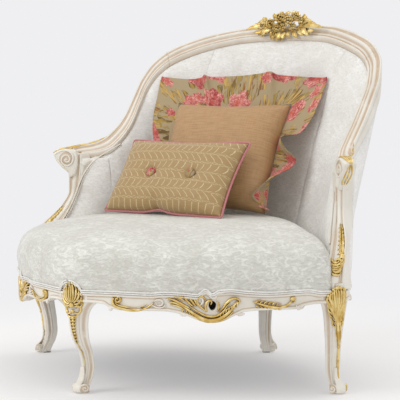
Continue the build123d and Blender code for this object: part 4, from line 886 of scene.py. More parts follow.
class Shaft:
    """Upright shaft of section loops whose first point is its front edge."""

    def __init__(self, heights, loops):
        self.heights = np.array(heights)
        self.loops = [np.vstack([loop, loop[:1]]) for loop in loops]
        self.runs = [run_along(loop) for loop in self.loops]
        self.middles = np.array(loops).mean(axis=1)

    def point(self, u, z):
        i = int(np.clip(np.searchsorted(self.heights, z) - 1, 0, len(self.heights) - 2))
        part = limit((z - self.heights[i]) / (self.heights[i + 1] - self.heights[i]))
        low, high = (np.array([np.interp(u % self.runs[k][-1], self.runs[k], self.loops[k][:, axis])
                               for axis in range(3)]) for k in (i, i + 1))
        return low * (1 - part) + high * part

    def surface(self, out=0.0):
        """Function from the way round from the front edge and the height to a point and its normal."""
        def at(u, z):
            here = self.point(u, z)
            side = self.point(u + 2, z) - self.point(u - 2, z)
            rise = self.point(u, min(z + 3, self.heights[-1])) - self.point(u, max(z - 3, self.heights[0]))
            normal = unit(np.cross(side, rise))
            centre = np.array([np.interp(z, self.heights, self.middles[:, axis]) for axis in range(3)])
            if normal @ (here - centre) < 0:
                normal = -normal
            return here + normal * out, normal
        return at


# Leg shapes: share of the height, extra width, share of the knee's and of the toe's way out
leg_foot = (
    (0.012, -0.1, 0.0, 0.62), (0.08, -0.15, 0.0, 0.42), (0.17, -0.1, 0.0, 0.12), (0.27, 0.0, 0.0, 0.0),
)
leg_rows = leg_foot + (
    (0.43, 0.08, 0.09, 0.0), (0.54, 0.2, 0.24, 0.0), (0.66, 0.44, 0.46, 0.0), (0.77, 0.66, 0.68, 0.0),
    (0.88, 0.88, 0.88, 0.0), (1.0, 1.0, 1.0, 0.0),
)
front_leg_rows = leg_foot + (
    (0.43, 0.12, 0.23, 0.0), (0.54, 0.42, 0.65, 0.0), (0.66, 0.64, 0.92, 0.0), (0.77, 0.8, 1.0, 0.0),
    (0.88, 0.9, 1.0, 0.0), (1.0, 1.0, 1.0, 0.0),
)
ankle_half, knee_growth, leg_height = 23.5, 14.5, 250
leg_low, bracket_low, bracket_rise = 3, 186, 66


def way_of(angle):
    return np.array([cos(radians(angle)), sin(radians(angle))])


def bracket_ends(corner, z):
    """Where the leg's side edges run out onto the rails, and the post's above them."""
    far = (78 if corner is front_corner else 66) - 34 * limit((z - 276) / 8)
    if corner is front_corner:
        right = front.at(far, z, -2)[0]
        return right, right * [-1, 1, 1]
    if corner is right_corner:
        return back.at(far, z, -2)[0], front.at(front.chord - far, z, -2)[0]
    left = back.at(back.chord - far, z, -2)[0]
    return left * [-1, 1, 1], left


def edge_beads(count, sides):
    """Relief and glaze round a leg's section: a ridge, a groove and a bead by each side edge."""
    ridge, shade = np.zeros(count), np.zeros(count)
    for side in sides:
        away = np.abs((np.arange(count) - side + count / 2) % count - count / 2)
        ridge += 1.4 * np.exp(-(away / 2.4) ** 2) - 2.6 * np.exp(-((away - 7.5) / 2.6) ** 2)
        ridge += 1.2 * np.exp(-((away - 12.5) / 1.6) ** 2) - 0.9 * np.exp(-((away - 15.5) / 1.2) ** 2)
        shade += 0.85 * np.exp(-((away - 7.5) / 2.8) ** 4) + 0.6 * np.exp(-((away - 15) / 0.9) ** 2)
    return ridge, shade


def leg(name, corner, ankle, arris, knee, toe, rows, node):
    """Cabriole leg: a square set on its corner, that flares into brackets under the rails."""
    table = smooth_table(rows)
    stretches = (leg_low, 190, 58), (193, 254, 30), (257, 302, 16)
    heights = np.concatenate([np.linspace(*stretch) for stretch in stretches])
    forward, sideways = way_of(arris), way_of(arris + 90)
    knee_reach, toe_reach = way_of(knee[0]) * knee[1], way_of(toe[0]) * toe[1]
    loops, glaze_and_seat_shade = [], []
    for z in heights:
        growth, knee_share, toe_share = table(z / leg_height)
        middle = ankle + knee_reach * knee_share + toe_reach * toe_share
        half = ankle_half + growth * knee_growth
        corners = np.array([[*(middle + way * half), z] for way in (forward, sideways, -forward, -sideways)])
        ends = bracket_ends(corner, z)
        if (ends[0][:2] - middle) @ sideways <= 0:
            ends = ends[::-1]
        flare = min(max(0.0, (z - bracket_low) / bracket_rise) ** 3.2, 1.0)
        for index, end in zip((1, 3), ends):
            corners[index, :2] += (end[:2] - corners[index, :2]) * flare
        loop = loop_smooth(edge_loop(corners, [30] * 4), 14)
        ridge, shade = edge_beads(len(loop), (30, 90))
        run = np.roll(loop, -1, axis=0) - np.roll(loop, 1, axis=0)
        normals = np.stack([run[:, 1], -run[:, 0], np.zeros(len(loop))], axis=1)
        normals /= np.linalg.norm(normals, axis=1)[:, None]
        if normals[0, :2] @ forward < 0:
            normals = -normals
        fade = min(1.0, (z - leg_low) / 40)
        loops.append(loop + normals * (ridge * fade)[:, None])
        glaze_and_seat_shade.append(shade * 0.85 * fade)
    return swept(name, loops, "painted_wood", [node], glaze_and_seat_shade), Shaft(heights, loops)


# Toes: height of the scroll's middle, its radius, how far its two ends turn out, and its sections
toe_middle, toe_radius, volute_turn = 15.6, 12.4, 56
volute_sections = ((-16, 9.5), (-6, 11.6), (1, 12.5), (3.6, 12.0), (4.4, 10.6))
# Ridge from the ankle down over the toe: height and distance out
over_toe = ((70, 21.5), (54, 23), (42, 26), (33, 31.5), (26, 38.5), (19, 44.5), (12, 46.5), (5.5, 44))


def scroll_foot(name, ankle, toe, gold=None):
    """Toe that ends in two scrolls, turned out to either side."""
    way, reach = way_of(toe[0]), toe[1]
    ahead, across, up = np.array([*way, 0.0]), np.array([-way[1], way[0], 0.0]), np.array([0, 0, 1.0])
    centre = np.array([*(ankle + way * (reach - 1)), toe_middle])
    wood = Carving()

    def ring(middle, sideways, radius):
        return [middle + (sideways * cos(t) + up * sin(t)) * radius for t in turns(36)]

    wood.add(*skin([ring(centre + across * stop, ahead, toe_radius - 0.012 * stop**2)
                    for stop in np.linspace(-15, 15, 13)]))
    for side in (-1, 1):
        facing = ahead * cos(radians(volute_turn)) + across * side * sin(radians(volute_turn))
        flat_way = np.cross(up, facing)
        middle = centre + across * side * 18 - ahead * 2
        # Volute: a drum with a glazed end that carries a spiral rib
        loops = [ring(middle + facing * stop, flat_way, radius) for stop, radius in volute_sections]
        end = middle + facing * volute_sections[-1][0]
        wood.add(*skin(loops[:4], end_cap=False))
        wood.add(*skin(loops[3:], start_cap=False), 0.9)

        def flat(a, b, end=end, flat_way=flat_way, facing=facing):
            return end + flat_way * a + up * b, facing

        target = gold if gold is not None and side > 0 else wood
        target.carve(flat, spiral(0, 0, 10.4, 1.45, 2.4, -side, 0.16, 28), 2.2, 3.6, 1.0, 0.8, 0.4, 48)
        target.stud(flat, 0, 0, 3.2)
    line = curve_through([np.array([*(ankle + way * d), z]) for z, d in over_toe], 26)
    wood.rib(line, [ahead] * 26, np.linspace(7, 15, 26), np.linspace(2.5, 3.6, 26), 14)
    return wood.done(f"{name}_toe", "painted_wood")


def foot_leaf(surface):
    """Leaf lines that run down the front of a foot."""
    c = Carving()
    for way in (-1, 1):
        c.carve(surface, flip([(0, 78), (4, 58), (10, 38), (13, 20)], way), 2.2, 3.2, 0.3, 0.8, 0.7, 20)
        c.carve(surface, flip([(0, 66), (2.5, 48), (5, 30), (5, 14)], way), 2.0, 3.0, 0.3, 0.8, 0.7, 18)
    return c


# Feet: the ankles, and the angle and the distance that the knees and toes stand out
toe_turn, side_turn = 27, 22
side_ankle = right_corner + 61 * way_of(180 - toe_turn)
front_ankle = front_corner + [0, 72]
back_ankle = back_corner - [0, 36]
front_toe, side_toe, back_toe = (-90, 36), (-toe_turn, 36), (90, 22)
_, front_shaft = leg("front_leg_carved", front_corner, front_ankle, arris=-90, knee=(-90, 36), toe=front_toe,
                     rows=front_leg_rows, node="front_leg")
side_leg, side_shaft = leg("right_leg_carved", right_corner, side_ankle, arris=-side_turn, knee=(-50, 34),
                           toe=side_toe, rows=leg_rows, node="right_leg")
leg("back_leg_carved", back_corner, back_ankle, arris=90, knee=(90, 8), toe=back_toe, rows=leg_rows,
    node="back_leg")
twin(side_leg)


def front_knee():
    """Acanthus on the front corner over a C-scroll, with a husk that tapers down the leg."""
    c = Carving()
    around = front_shaft.surface(2.0)

    def upper(u, z):
        return around(u + 8, z)

    for way in (-1, 1):
        for points, wide in (
            ([(2, 250), (6, 268), (5, 288), (3, 301)], 4.4),
            ([(3, 250), (12, 264), (14, 282), (12, 294)], 4.2),
            ([(4, 248), (16, 258), (22, 270), (22, 283)], 4.2),
            ([(5, 246), (18, 249), (27, 257), (29, 268)], 4.0),
            ([(5, 243), (17, 240), (27, 243), (31, 252)], 3.8),
        ):
            c.carve(upper, flip(points, way), wide, wide * 1.9, 0.5, 0.45, 0.6, 20)
        for x, z in ((3.5, 302), (12, 296), (22, 286), (29.5, 271), (31, 255)):
            spot, normal = upper(way * x, min(z, 300))
            c.ball(spot + normal * 3 + np.array([0, 0, z - min(z, 300)]), normal, 3.6)
        c.carve(upper, flip([(0, 224), (13, 220), (23, 228), (22, 240), (13, 243), (9, 235)], way),
                3.6, 6.5, 0.5, 0.6, 0.4, 30)
        c.carve(upper, flip([(0, 212), (9, 213), (15, 221)], way), 3.0, 5.4, 0.5, 0.4, 0.4, 14)
    c.carve(upper, [(0, 240), (0, 262), (0, 284), (0, 301)], 3.6, 8, 0.6, 0.5, 0.6, 20)
    c.stud(upper, 0, 244, 7, 4)
    c.stud(upper, 0, 228, 5, 3)
    # Husk of shrinking beads, each between two leaflets
    for t in range(9):
        z = 208 - 8.4 * t
        c.stud(upper, 0, z, 5.4 - 0.42 * t)
        leaflet = [(0, z - 4), (6.5 - 0.5 * t, z + 1), (8 - 0.7 * t, z + 8)]
        for way in (-1, 1):
            c.carve(upper, flip(leaflet, way), 2.1 - 0.1 * t, 3.8, 0.5, 0.3, 0.4, 8)
    c.carve(upper, [(0, 140), (0, 110), (0, 78), (0, 52)], 1.5, 2.2, 0.8, 0.3, 0.2, 20)
    return c


def side_knee():
    """Gilded acanthus on the side leg's knee, with its stalk down the edge to the toe."""
    c = Carving()
    around = side_shaft.surface(1.5)

    def upper(u, z):
        return around(u - 11 * limit((z - 140) / 80), z)

    for k, side in enumerate(np.linspace(-1, 1, 11)):
        top = 291 - 20 * side**2
        line = flip([(3, 188), (9, 214), (24, 246), (32, top - 14), (28, top)], side)
        c.carve(upper, line, 4.8, 6.4 + 1.6 * (k % 2), 0.45, 0.6, 0.8, 30)
        c.stud(upper, 29 * side, top, 4.8, 2.0)
    for t in range(6):
        z = 262 - 12.5 * t
        leaf = [(14 - 1.6 * t, z - 16), (28 - 2.8 * t, z - 9), (36 - 4.2 * t, z + 3)]
        for way in (-1, 1):
            c.carve(upper, flip(leaf, way), 2.9, 5, 0.5, 0.4, 0.6, 14)
    c.carve(upper, [(0, 226), (0, 190), (0, 160), (0, 130)], 5.2, 6.0, 0.6, 0.55, 0.3, 30)
    c.carve(upper, [(0, 132), (0, 100), (0, 66), (0, 40), (0, 24)], 3.4, 4.4, 0.7, 0.9, 0.3, 40)
    for way in (-1, 1):
        c.carve(upper, flip([(6, 206), (5.5, 176), (4, 146), (2, 126)], way), 2.3, 4.0, 0.8, 0.3, 0.15, 30)
    c.stud(upper, 0, 128, 5.0)
    return c


front_knee().done("front_knee_gilding")
knee = side_knee()
right_toe = scroll_foot("right_leg", side_ankle, side_toe, knee)
twin(knee.done("right_knee_gilding"))
twin(right_toe)
scroll_foot("front_leg", front_ankle, front_toe)
scroll_foot("back_leg", back_ankle, back_toe)
twin(foot_leaf(side_shaft.surface()).done("right_foot_leaf", "painted_wood"))


# Fan of upright planes that the arms and the back are laid out on
fan_y, arm_height, crest_height, wrap_radius = 74.6, 624, 1000, 500
# Show rail round the back: angle, share of the radius, share of the rise from the arm to the crest
wrap = smooth_table((
    (-4, 1.034, 0.0), (3, 0.965, 0.012), (8, 0.916, 0.043), (12, 0.902, 0.096), (16, 0.906, 0.165),
    (20, 0.921, 0.255), (25, 0.954, 0.423), (29, 0.982, 0.574), (33, 0.987, 0.691), (38, 0.968, 0.787),
    (44, 0.940, 0.856), (52, 0.898, 0.915), (60, 0.876, 0.955), (69, 0.868, 0.984), (80, 0.848, 0.997),
    (90, 0.838, 1.0), (100, 0.848, 0.997),
))
arm_end, rail_width, rail_height, lip_thick = -4, 20, 34, 13


def fan_point(angle, radius, height):
    return np.array([radius * cos(radians(angle)), fan_y + radius * sin(radians(angle)), height])


def right_half(angle):
    return angle if angle <= 90 else 180 - angle


def bead_at(angle):
    """Radius and height of the show rail's top bead."""
    share, rise = wrap(angle)
    return wrap_radius * share, arm_height + (crest_height - arm_height) * rise


def steepness(angle):
    """How much deeper the show rail's upright section is where the rail climbs."""
    near, far = max(angle - 2, arm_end), min(angle + 2, 90)
    (radius, low), (_, high) = bead_at(near), bead_at(far)
    return sqrt(1 + ((high - low) / (radius * radians(4)) * 0.75) ** 2)


def ramp(value, first, last, low, high):
    """From low to high, with soft ends, while value goes from first to last."""
    part = limit((value - first) / (last - first))
    return low + part * part * (3 - 2 * part) * (high - low)


def rail_corners(angle):
    """Show rail's section: inner lip, top bead, outer edge, outer foot and lip's foot."""
    radius, height = bead_at(angle)
    deep = steepness(angle)
    lip = radius - ramp(angle, 16, 46, 28, 15)
    lip_height = height - ramp(angle, 16, 46, 13, 24)
    outer, outer_height = radius + rail_width, height + 12
    return [(lip, lip_height), (radius, height), (outer, outer_height),
            (outer, outer_height - rail_height * deep), (lip, lip_height - lip_thick * deep)]


# Show rail's mouldings: share of the way over its face, height, and glaze
moulding = (
    (0.0, 0.0, 0.0), (0.02, 1.6, 0.0), (0.06, 2.6, 0.0), (0.10, 2.0, 0.0), (0.125, 0.0, 0.5),
    (0.145, -1.6, 1.0), (0.17, -1.8, 1.0), (0.20, -0.2, 0.3), (0.24, 1.0, 0.0), (0.28, 0.6, 0.1),
    (0.31, -1.2, 0.7), (0.36, -2.6, 0.9), (0.41, -2.0, 0.6), (0.445, -0.2, 0.4), (0.47, 1.6, 0.0),
    (0.52, 2.9, 0.0), (0.58, 3.0, 0.0), (0.63, 1.8, 0.0), (0.66, 0.0, 0.5), (0.685, -2.2, 1.0),
    (0.73, -3.4, 0.8), (0.78, -3.4, 0.7), (0.83, -2.2, 0.9), (0.86, -0.4, 0.6), (0.885, 1.2, 0.0),
    (0.94, 1.8, 0.0), (0.98, 1.2, 0.0),
)


def moulded_loop(angle):
    """Section of the show rail in space, and its glaze."""
    lip, bead, outer, outer_low, lip_low = np.array(rail_corners(angle))
    shrink = ramp(angle, arm_end, 3, 0.35, 1.0)
    outer_low = bead + (outer_low - bead) * [shrink, 1]
    outer = bead + (outer - bead) * shrink
    face = np.array([lip, bead, outer])
    run = run_along(face)
    first, second = (unit([low[1] - high[1], high[0] - low[0]]) for low, high in ((lip, bead), (bead, outer)))
    flat, shade = [], []
    for share, lift, dark in moulding:
        at = share * run[-1]
        point = np.array([np.interp(at, run, face[:, axis]) for axis in (0, 1)])
        part = limit((at - run[1] + 8) / 16)
        flat.append(point + unit(first * (1 - part) + second * part) * lift)
        shade.append(dark)
    # Outer side with a glazed groove, underside and inner side
    for part, out, dark in ((0.08, 0.6, 0.0), (0.3, 0.6, 0.0), (0.34, -1.5, 0.9), (0.38, 0.6, 0.0),
                            (0.6, 0.6, 0.0), (0.9, 0.6, 0.0), (1.0, 0.6, 0.0)):
        flat.append(outer + (outer_low - outer) * part + np.array([out, 0]))
        shade.append(dark)
    for part in (0.3, 0.7, 1.0):
        flat.append(outer_low + (lip_low - outer_low) * part)
        shade.append(0.2)
    flat.append((lip_low + lip) / 2)
    shade.append(0.6)
    return [fan_point(angle, *point) for point in flat], shade


def show_rail(name, first, last, count, node):
    found = [moulded_loop(angle) for angle in np.linspace(first, last, count)]
    return swept(name, [loop for loop, _ in found], "painted_wood", [node], [shade for _, shade in found])


twin(show_rail("right_arm_rail_moulded", arm_end, 38, 110, "right_arm_rail"))
twin(show_rail("right_crest_rail_moulded", 38.03, 89.97, 120, "right_crest_rail"))


# Walls of the back: lines from the seat rail up to the show rail
def underside(angle, radius):
    _, _, _, (outer, outer_low), (lip, lip_low) = rail_corners(angle)
    return lip_low + (outer_low - lip_low) * (radius - lip) / (outer - lip)


def base_radius(angle, inset=0.0):
    """Radius in the fan of the back rail's face, or of a line inside it."""
    angle = radians(right_half(angle))
    to = np.array([-back.centre[0], fan_y - back.centre[1]])
    along = to[0] * cos(angle) + to[1] * sin(angle)
    return sqrt(along**2 - to @ to + (back.radius - inset) ** 2) - along


def layer(angle, base, top, low=302.3):
    """Foot and head of a wall's line. Base: way inside the seat rail. Top: share of the show rail's width."""
    plain = right_half(angle)
    foot = np.array([base_radius(plain, base), low])
    corners = rail_corners(plain)
    lip, outer = corners[0][0], corners[2][0]
    radius = lip + (outer - lip) * top
    head = np.array([radius, underside(plain, radius) - 0.3])
    if plain > 1.5:
        return foot, head
    height = stump_low + (stump_top - stump_low) * height_at_angle(plain - 0.3)
    part = (height - low) / (head[1] - low)
    return foot, np.array([foot[0] + (head[0] - foot[0]) * part, height])


# Arm stumps
stump_low, stump_top, stump_width, stump_depth = 302.3, 597.7, 67, 98
# Share of the height, then the outer and the inner edge's way in and back, in shares of width and depth
stump_rows = smooth_table((
    (0.0, 0.0, 0.0, -0.50, -0.41), (0.15, -0.06, 0.10, -0.60, -0.28), (0.23, -0.12, 0.18, -0.82, 0.06),
    (0.31, -0.19, 0.31, -1.11, 0.43), (0.42, -0.49, 0.59, -1.30, 0.73), (0.53, -0.81, 0.83, -1.42, 0.91),
    (0.67, -1.0, 1.0, -1.54, 1.06), (0.86, -1.0, 1.0, -1.6, 1.14), (1.0, -0.96, 0.98, -1.61, 1.17),
))
# Angle of the fan that the stump's back lies on, by the share of the height
back_angles = ((0.0, -10.5), (0.15, -8.6), (0.23, -7), (0.31, -5.5), (0.42, -2), (0.53, 0.5), (0.67, 1.5))
stump_back = smooth_line(back_angles + ((1.01, 1.5),))
height_at_angle = smooth_line([(angle, share) for share, angle in back_angles])


def stump_share(z):
    return limit((z - stump_low) / (stump_top - stump_low))


def stump_section(share):
    """Corners of the stump's section: outer and inner front edge, inner and outer back."""
    places = stump_rows(share)
    outer = right_corner + places[:2] * [stump_width, stump_depth]
    inner = right_corner + places[2:] * [stump_width, stump_depth]
    angle = stump_back(share)
    head = rail_corners(2.5)[2][0]
    wall = base_radius(angle) + (head - base_radius(angle)) * share
    return outer, inner, fan_point(angle, wall - 46, 0)[:2], fan_point(angle + 1.8, wall + 1.5, 0)[:2]


def stump_beads(count):
    """Relief and glaze round the stump's section: a cove down the face, with a bead on either side."""
    index = np.arange(count)
    away = np.minimum(index, count - index)
    lift = 2.6 * np.exp(-((away - 18) / 2.6) ** 2) - 2.6 * np.exp(-((away - 13.5) / 1.8) ** 2)
    lift += 3.2 * np.exp(-(away / 7.0) ** 4) - 2.2 * np.exp(-((away - 9.5) / 1.6) ** 2)
    return lift, np.exp(-((away - 13.5) / 1.6) ** 2) + 0.9 * np.exp(-((away - 9.5) / 1.3) ** 2)


def arm_stump():
    """Stump from the seat rail up into the arm rail, and its shaft for the carving on it."""
    heights = np.linspace(stump_low - 18, stump_top + 14, 110)
    loops, glaze_and_seat_shade = [], []
    for z in heights:
        outer, inner, inner_back, outer_back = stump_section(stump_share(z))
        flat = (outer + inner) / 2, inner, inner_back, outer_back, outer
        corners = np.array([[*point, z] for point in flat])
        loop = edge_loop(corners, (22, 10, 10, 10, 22))
        lift, shade = stump_beads(len(loop))
        face = unit([(outer - inner)[1], -(outer - inner)[0], 0.0])
        if face @ [0.3, -1.0, 0.0] < 0:
            face = -face
        loops.append(loop_smooth(loop, 2) + face * lift[:, None])
        glaze_and_seat_shade.append(shade)
    obj = swept("right_arm_stump_carved", loops, "painted_wood", ["right_arm_stump"], glaze_and_seat_shade)
    return obj, Shaft(heights, loops)


stump, stump_shaft = arm_stump()
twin(stump)

# Arm scroll, in a plane of its own: a to the front, b up. Rim from the arm over the horn down to the stump
horn_rim = (
    (-34, 24), (-20, 29), (-4, 31), (10, 29), (24, 24), (36, 17), (38, 13), (32, 4), (27, -6), (19, -17),
    (9, -27), (-2, -36), (-10, -46), (-14, -60),
)
horn_back = ((-34, -50), (-40, -20), (-40, 4))
horn_curl = (
    (32, 12), (20, 20), (4, 25), (-12, 22), (-23, 12), (-26, -2), (-20, -16), (-8, -22), (5, -18), (11, -7),
    (8, 4), (-1, 10), (-11, 8), (-15, -2), (-11, -10), (-3, -10), (0, -4), (-5, -1),
)
# Share of the outline by the distance across the horn
horn_round = (
    (-17, 0.88), (-16, 0.95), (-13, 0.99), (-6, 1.0), (6, 1.0), (13, 0.99), (16, 0.95), (17, 0.88),
)
# Lines of the gilded leaf: over the horn and down its outer edge, each with the share of its way across
leaf_over = ((-20, 30, 1), (-6, 32, 1), (10, 30, 0.9), (24, 25, 0.7), (38, 17, 0.3))
leaf_down = ((38, 13, 0.3), (30, 0, 0.7), (21, -13, 1), (9, -26, 1), (-3, -37, 0.9), (-13, -48, 0.5))
horn_turn, horn_height, horn_half = 34, 600, 16.8


def arm_scroll():
    """Ram's horn at the end of the arm, with a spiral on either side and gilding along its edge."""
    ahead = np.array([*way_of(-horn_turn), 0.0])
    across = np.array([ahead[1], -ahead[0], 0.0])
    up = np.array([0, 0, 1.0])
    middle = fan_point(arm_end, np.mean([corner[0] for corner in rail_corners(arm_end)]), 0)
    centre = middle + ahead * 5 + up * horn_height
    wood, gold = Carving(), Carving()

    def at(a, b, side):
        return centre + across * side + ahead * a + up * b

    outline = np.vstack([curve_through(horn_rim, 70), horn_back])
    heart = np.array([-2.0, -6.0])
    wood.add(*skin([[at(*(heart + (point - heart) * share), side) for point in outline]
                    for side, share in horn_round]))
    for end in (-1, 1):
        def flat(a, b, end=end):
            return at(a, b, end * horn_half), across * end

        disc = [flat(24 * cos(t) - 6, 22 * sin(t) - 1)[0] for t in turns(40)]
        wood.add(*skin([[point + across * end * out for point in disc] for out in (0.5, -3)]), 0.75)
        wood.carve(flat, horn_curl, 3.3, 5.2, 0.5, 0.8, 0.3, 110)
        wood.carve(flat, [(33, 8), (24, -4), (14, -16), (2, -28), (-8, -40)], 2.6, 4.2, 0.4, 0.6, 0.4, 34)
        wood.stud(flat, -5, -3, 3.6)
    for sides, stops, facing, count, wide, high, end, grow in (
        ((-11, -4, 4, 11), leaf_over, up, 24, 3.4, 3.2, 0.4, 0.5),
        ((-9, 0, 9), leaf_down, unit(ahead - up * 0.8), 26, 2.8, 2.4, 0.3, 0.6),
    ):
        for side in sides:
            line = curve_through([at(a, b, side * share) for a, b, share in stops], count)
            widths, heights = (taper(count, full, 0.5, end, grow) for full in (wide, high))
            gold.rib(line, [facing] * count, widths, heights)
    return wood, gold


scroll_wood, scroll_gold = arm_scroll()


def stump_edge(z, inset=0.0):
    """Inner front edge of the stump."""
    _, inner, inner_back, _ = stump_section(stump_share(z))
    return np.array([*(inner + (inner_back - inner) * inset), z])


def arm_web(c):
    """Rounded corner where the arm's inner moulding sweeps down into the stump's."""
    sharp = [stump_edge(z) for z in np.linspace(398, 594, 56)]
    for angle in np.linspace(2.6, 14, 30):
        lip, low = rail_corners(angle)[4]
        sharp.append(fan_point(angle, lip, low + 1.5))
    sharp = curve_through(sharp[::3], 100)
    soft = sharp.copy()
    for _ in range(620):
        soft[1:-1] = (soft[:-2] + 2 * soft[1:-1] + soft[2:]) / 4
    facing = np.array([-0.80, -0.60, 0.0])
    gaps = sharp - soft
    swell = [0.3 * min(float(np.linalg.norm(gap)), 16) for gap in gaps]
    loops = []
    for p, q, gap, rise in zip(soft, sharp, gaps, swell):
        proud, deep = facing * (2.0 + rise), facing * 12
        loops.append([p + proud, q + proud, q - deep, p - deep + gap * 0.1])
    c.add(*skin(loops))
    for away, thick in ((0.0, 2.6), (6.0, 2.0)):
        line = [p - unit(np.cross(unit(run), facing)) * away + facing * (2.2 + rise)
                for p, run, rise in zip(soft, np.gradient(soft, axis=0), swell)]
        c.cord(line, [facing] * len(line), thick)


arm_web(scroll_wood)
twin(scroll_wood.done("right_arm_scroll", "painted_wood"))

# Inside pads: depth of their face inside the seat rail, how far they swell, and how full they are
pad_depth, pad_swell, pad_fill, pad_edge_fill = 70, 16, 0.8, 0.6


def crowned(part):
    """How far a pad's face has swollen at a share of its height."""
    return max(sin(pi * part**0.8), 0) ** 0.45 if 0 < part < 1 else 0.0


def pad_edge():
    """Side of the inside pad that lies against the stump."""
    loops = []
    for z in np.linspace(372, 600, 44):
        angle = stump_back(min((z - stump_low) / (stump_top - stump_low), 1)) + 6.0
        foot_end, head_end = layer(angle if angle <= 1.5 else max(angle, 1.6), pad_depth, 0)
        part = min((z - foot_end[1]) / max(head_end[1] - foot_end[1], 1), 1.0)
        radius = foot_end[0] + (head_end[0] - foot_end[0]) * part
        target = fan_point(angle, radius - 15.2 * crowned(part), z)
        start, inner = stump_edge(z, 0.07), stump_edge(z, 1.0)
        normal = unit([-(target - start)[1], (target - start)[0], 0.0])
        if normal[0] > 0:
            normal = -normal
        swell = 6 * limit((606 - z) / 60)
        loop = [start + (target - start) * t + normal * swell * sin(pi * t) ** 0.8
                for t in np.linspace(0, 1, 14)]
        loop += [fan_point(angle + 0.6, radius + 14, z), inner + [3, 0, 0], start + [3, 0, 0]]
        loops.append(loop)
    return swept("right_arm_pad_edge", loops, "upholstery_velvet")


twin(pad_edge())


def arm_surface(u, along):
    """Outer bead of the arm: u across from it, along in degrees of the fan."""
    radius, height = bead_at(along)
    if u >= 0:
        outer, outer_height = rail_corners(along)[2]
        part = u / rail_width
        point = fan_point(along, radius + (outer - radius) * part, height + (outer_height - height) * part)
    else:
        point = fan_point(along, radius + u, height + u * 0.4)
    ahead, behind = fan_point(along + 1, *bead_at(along + 1)), fan_point(along - 1, *bead_at(along - 1))
    outward = np.array([cos(radians(along)), sin(radians(along)), 0.0])
    normal = unit(np.cross(outward, ahead - behind))
    if normal[2] < 0:
        normal = -normal
    return point + normal * 1.5, unit(normal + outward * 0.4)


def arm_gilding(c):
    """Leaf lines that run from the horn onto the arm's outer bead."""
    for points, wide in (
        ([(13, -3), (16, 1), (18, 4), (17, 7)], 2.6), ([(16, -1), (19, 3), (20, 6), (19, 9)], 2.4),
        ([(7, -3.4), (11, -0.5), (15, 2)], 2.2), ([(19, 3), (21, 6), (20, 9), (17, 11)], 2.2),
    ):
        c.carve(arm_surface, points, wide, wide * 1.3, 0.4, 0.3, 0.4, 26)


def stump_gilding(c):
    """Acanthus up the foot of the stump: a curl at the bottom and leaflets off a stem."""
    below = stump_shaft.surface(1.0)
    # The way round towards the chair's outside
    sign = 1 if below(12, 340)[0][0] > below(-12, 340)[0][0] else -1

    def face(u, z):
        return below(sign * u - 2, z + 12)

    c.carve_all(face, (
        ([(-6, 318), (6, 322), (14, 336), (17, 356), (15, 380), (12, 404), (9, 426), (8, 438)],
         6.4, 8, 0.7, 0.25, 0.3, 60),
        ([(-14, 326), (-4, 319), (8, 326), (11, 340), (4, 350), (-5, 346), (-5, 337), (1, 334)],
         5.0, 8.5, 0.5, 0.6, 0.4, 44),
        ([(-20, 334), (-19, 324), (-10, 314), (4, 311), (15, 318)], 4.4, 6.5, 0.4, 0.5, 0.4, 30),
    ))
    leaflet = 0.7, 0.25, 0.3
    for t in range(9):
        x, z = 15 - 0.85 * t, 336 + 10.6 * t
        c.carve(face, [(x - 2, z), (x - 10 + 0.5 * t, z + 7), (x - 17 + 1.1 * t, z + 5)],
                3.1 - 0.12 * t, 6.2, *leaflet, 16)
        c.carve(face, [(x - 2, z + 4), (x - 8 + 0.4 * t, z + 13), (x - 10 + 0.8 * t, z + 19)],
                2.5 - 0.1 * t, 5.4, *leaflet, 14)
        c.carve(face, [(x, z), (x + 7, z + 8), (x + 8, z + 17)], 2.6, 5.2, *leaflet, 14)
    # Crescent of laps at the bottom
    for k, radius in enumerate((25, 19.5, 14, 8.5)):
        lap = [(-5 + radius * cos(a), 348 + 0.9 * radius * sin(a))
               for a in np.radians(np.linspace(168, 352, 9))]
        c.carve(face, lap, 4.6, 6.5 + 1.5 * k, 0.5, 0.5, 0.4, 40)
    for a in np.radians(195 + 26 * np.arange(6)):
        ray = [(-5 + wide * cos(a + lean), 348 + high * sin(a + lean))
               for wide, high, lean in ((10, 9, 0), (19, 17, 0.25), (27, 24, 0.35))]
        c.carve(face, ray, 2.6, 10, 0.6, 0.5, 0.5, 14)


arm_gilding(scroll_gold)
stump_gilding(scroll_gold)
twin(scroll_gold.done("right_arm_gilding"))


# Crest: blooms and leaves over the middle of the back
spray_radius = 424


def crest_at(s, z, out=0.0):
    """Over the crest: s along it to the right, z the height, out towards the front."""
    turn = radians(90) - (s + 8) / spray_radius
    way = np.array([cos(turn), sin(turn), 0.0])
    return np.array([0, fan_y, z]) + way * (spray_radius - 12 - out), -way


def crest_blade(c, points, width, outs, twist, cup, teeth, tooth, count):
    """Leaf over the crest: outs are its distances out, twist turns its face up, teeth and tooth lobe it."""
    found = [crest_at(*stop) for stop in curve_through([(*p, o) for p, o in zip(points, outs)], count)]
    facing = [unit(normal + np.array([0, 0, twist])) for _, normal in found]
    widths = taper(count, width, 0.25, 0.08, 0.45)
    c.blade([spot for spot, _ in found], facing, widths, cup=cup, teeth=teeth, tooth=tooth)


